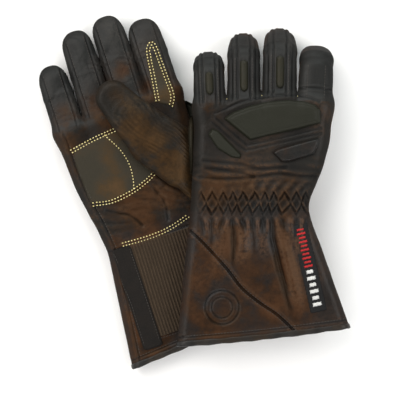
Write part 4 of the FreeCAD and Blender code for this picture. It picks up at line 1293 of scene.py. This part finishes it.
def leather_body(glove, smooth, shown):
    """The leather of the cuff, the hand and each finger segment, and the lining inside the cuff."""
    hand = glove.hand
    values = colour_values(glove, shown, smooth)
    centre = smooth.points[smooth.quads].mean(1)
    lined = (glove.slab(*centre.T) < -WALL * 0.6) & (centre[:, 1] < 60)
    labels = label_of(glove, centre)
    stands_for = {
        "cuff": ("cuff_back_outer", "cuff_back_inner", "cuff_palm_panel"),
        "hand": ("back_panel", "palm_panel", "outer_side_strip", "inner_side_strip", "wrist_elastic"),
    }
    materials = {"cuff": "cuff_leather", "hand": "brown_leather"}
    for k, part in enumerate(PART_NAMES):
        material = materials.get(part, "black_leather")
        chosen = [(part, (labels == k) & ~lined)]
        piece = place(glove, shown, "leather", material, material, values, chosen)[part]
        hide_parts(*(f"{hand}_{node}" for node in stands_for.get(part, (part,))))
    made = place(glove, shown, "lining", "lining_fabric", "lining_fabric", parts=[("cuff", lined)])
    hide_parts(f"{hand}_lining")


def thumb_piece(glove):
    """The thumb, rubbed to a warmer colour along its length."""
    form = thumb_surface(glove)
    thumb = thumb_detail(glove, form)
    lean, across = thumb_lean(*((form.points - glove.thumb[0]) @ axis for axis in glove.thumb[1:3]))
    rubbed = bump(-across, 14, 16) * (1 - step(lean, 46, 70))
    warm = 0.35 + 0.5 * noise(form.points, 24, 63) + 0.2 * noise(form.points, 8, 64) + 1.1 * rubbed
    values = {
        "warm": np.clip(warm, 0, 1.5),
        "dent": np.einsum("ij,ij->i", thumb.points - form.points, form.normals),
        "dull": 0.8 - 0.8 * step(np.abs(form.normals[:, 2]), 0.5, 0.9),
    }
    piece = place_whole(glove, thumb, "thumb", "thumb_leather", "brown_leather", "thumb", values)
    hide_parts(f"{glove.hand}_thumb")


def build(hand):
    """One glove, with all its pieces."""
    glove = Glove(hand)
    smooth = glove_surface(glove)
    shown = detail(glove, smooth)
    leather_body(glove, smooth, shown)
    thumb_piece(glove)
    skin = Skin(smooth)
    stitches = Stitches(glove, Skin(shown))
    guards(glove, skin)
    finger_pads(glove, skin)
    patches(glove, skin, stitches)
    ribbed_panel(glove, skin, stitches)
    closure_flap(glove, skin, stitches)
    hem_binding(glove)
    woven_label(glove, skin)
    seams(glove, stitches)
    stitches.place()


for hand in ("right", "left"):
    build(hand)


# ---------------------------------------------------------------- floor, lights and camera


def floor():
    mesh = bpy.data.meshes.new("floor")
    mesh.from_pydata([(-3, -3, 0), (3, -3, 0), (3, 3, 0), (-3, 3, 0)], [], [(0, 1, 2, 3)])
    piece = bpy.data.objects.new("floor", mesh)
    bpy.context.scene.collection.objects.link(piece)
    paper = Look("floor paper")
    paper.shade("Base Color", (0.9, 0.9, 0.9))
    paper.shade("Roughness", 0.9)
    mesh.materials.append(paper.material)


def soft_light(name, at, size, power, colour):
    lamp = bpy.data.lights.new(name, "AREA")
    lamp.shape, lamp.size, lamp.energy, lamp.color = "DISK", size, power, colour
    piece = bpy.data.objects.new(name, lamp)
    piece.location = at
    piece.rotation_euler = (Vector((0, 0, 0.03)) - Vector(at)).to_track_quat("-Z", "Y").to_euler()
    bpy.context.scene.collection.objects.link(piece)


# What the camera looks at, and how wide a view it has there, in metres.
VIEW_CENTRE, VIEW_WIDTH = (0.0074, -0.008, 0.035), 0.368


def camera():
    """Looks straight down, from far enough away to be nearly parallel."""
    lens = bpy.data.cameras.new("camera")
    lens.lens, lens.sensor_width = 250, 36
    lens.clip_end = 20
    piece = bpy.data.objects.new("camera", lens)
    distance = VIEW_WIDTH * lens.lens / lens.sensor_width
    piece.location = (*VIEW_CENTRE[:2], VIEW_CENTRE[2] + distance)
    bpy.context.scene.collection.objects.link(piece)
    bpy.context.scene.camera = piece


floor()
# Name, place and size in metres, power in watts, colour.
soft_light("key", (-0.9, 1.0, 1.6), 1.9, 34, (1, 0.97, 0.93))
soft_light("left", (-1.5, -0.3, 1.5), 1.6, 17, (1, 0.97, 0.93))
soft_light("right", (1.4, -0.1, 1.6), 1.6, 24, (1, 0.98, 0.96))
soft_light("back", (0.2, 1.8, 1.1), 1.6, 18, (0.93, 1, 0.98))
soft_light("front", (0.1, -1.6, 1.2), 1.4, 14, (1, 1, 1))
world = bpy.data.worlds.new("studio")
world.use_nodes = True
background = world.node_tree.nodes["Background"]
background.inputs["Color"].default_value = (0.95, 0.98, 1, 1)
background.inputs["Strength"].default_value = 0.18
bpy.context.scene.world = world
bpy.context.scene.view_settings.view_transform = "Standard"
camera()
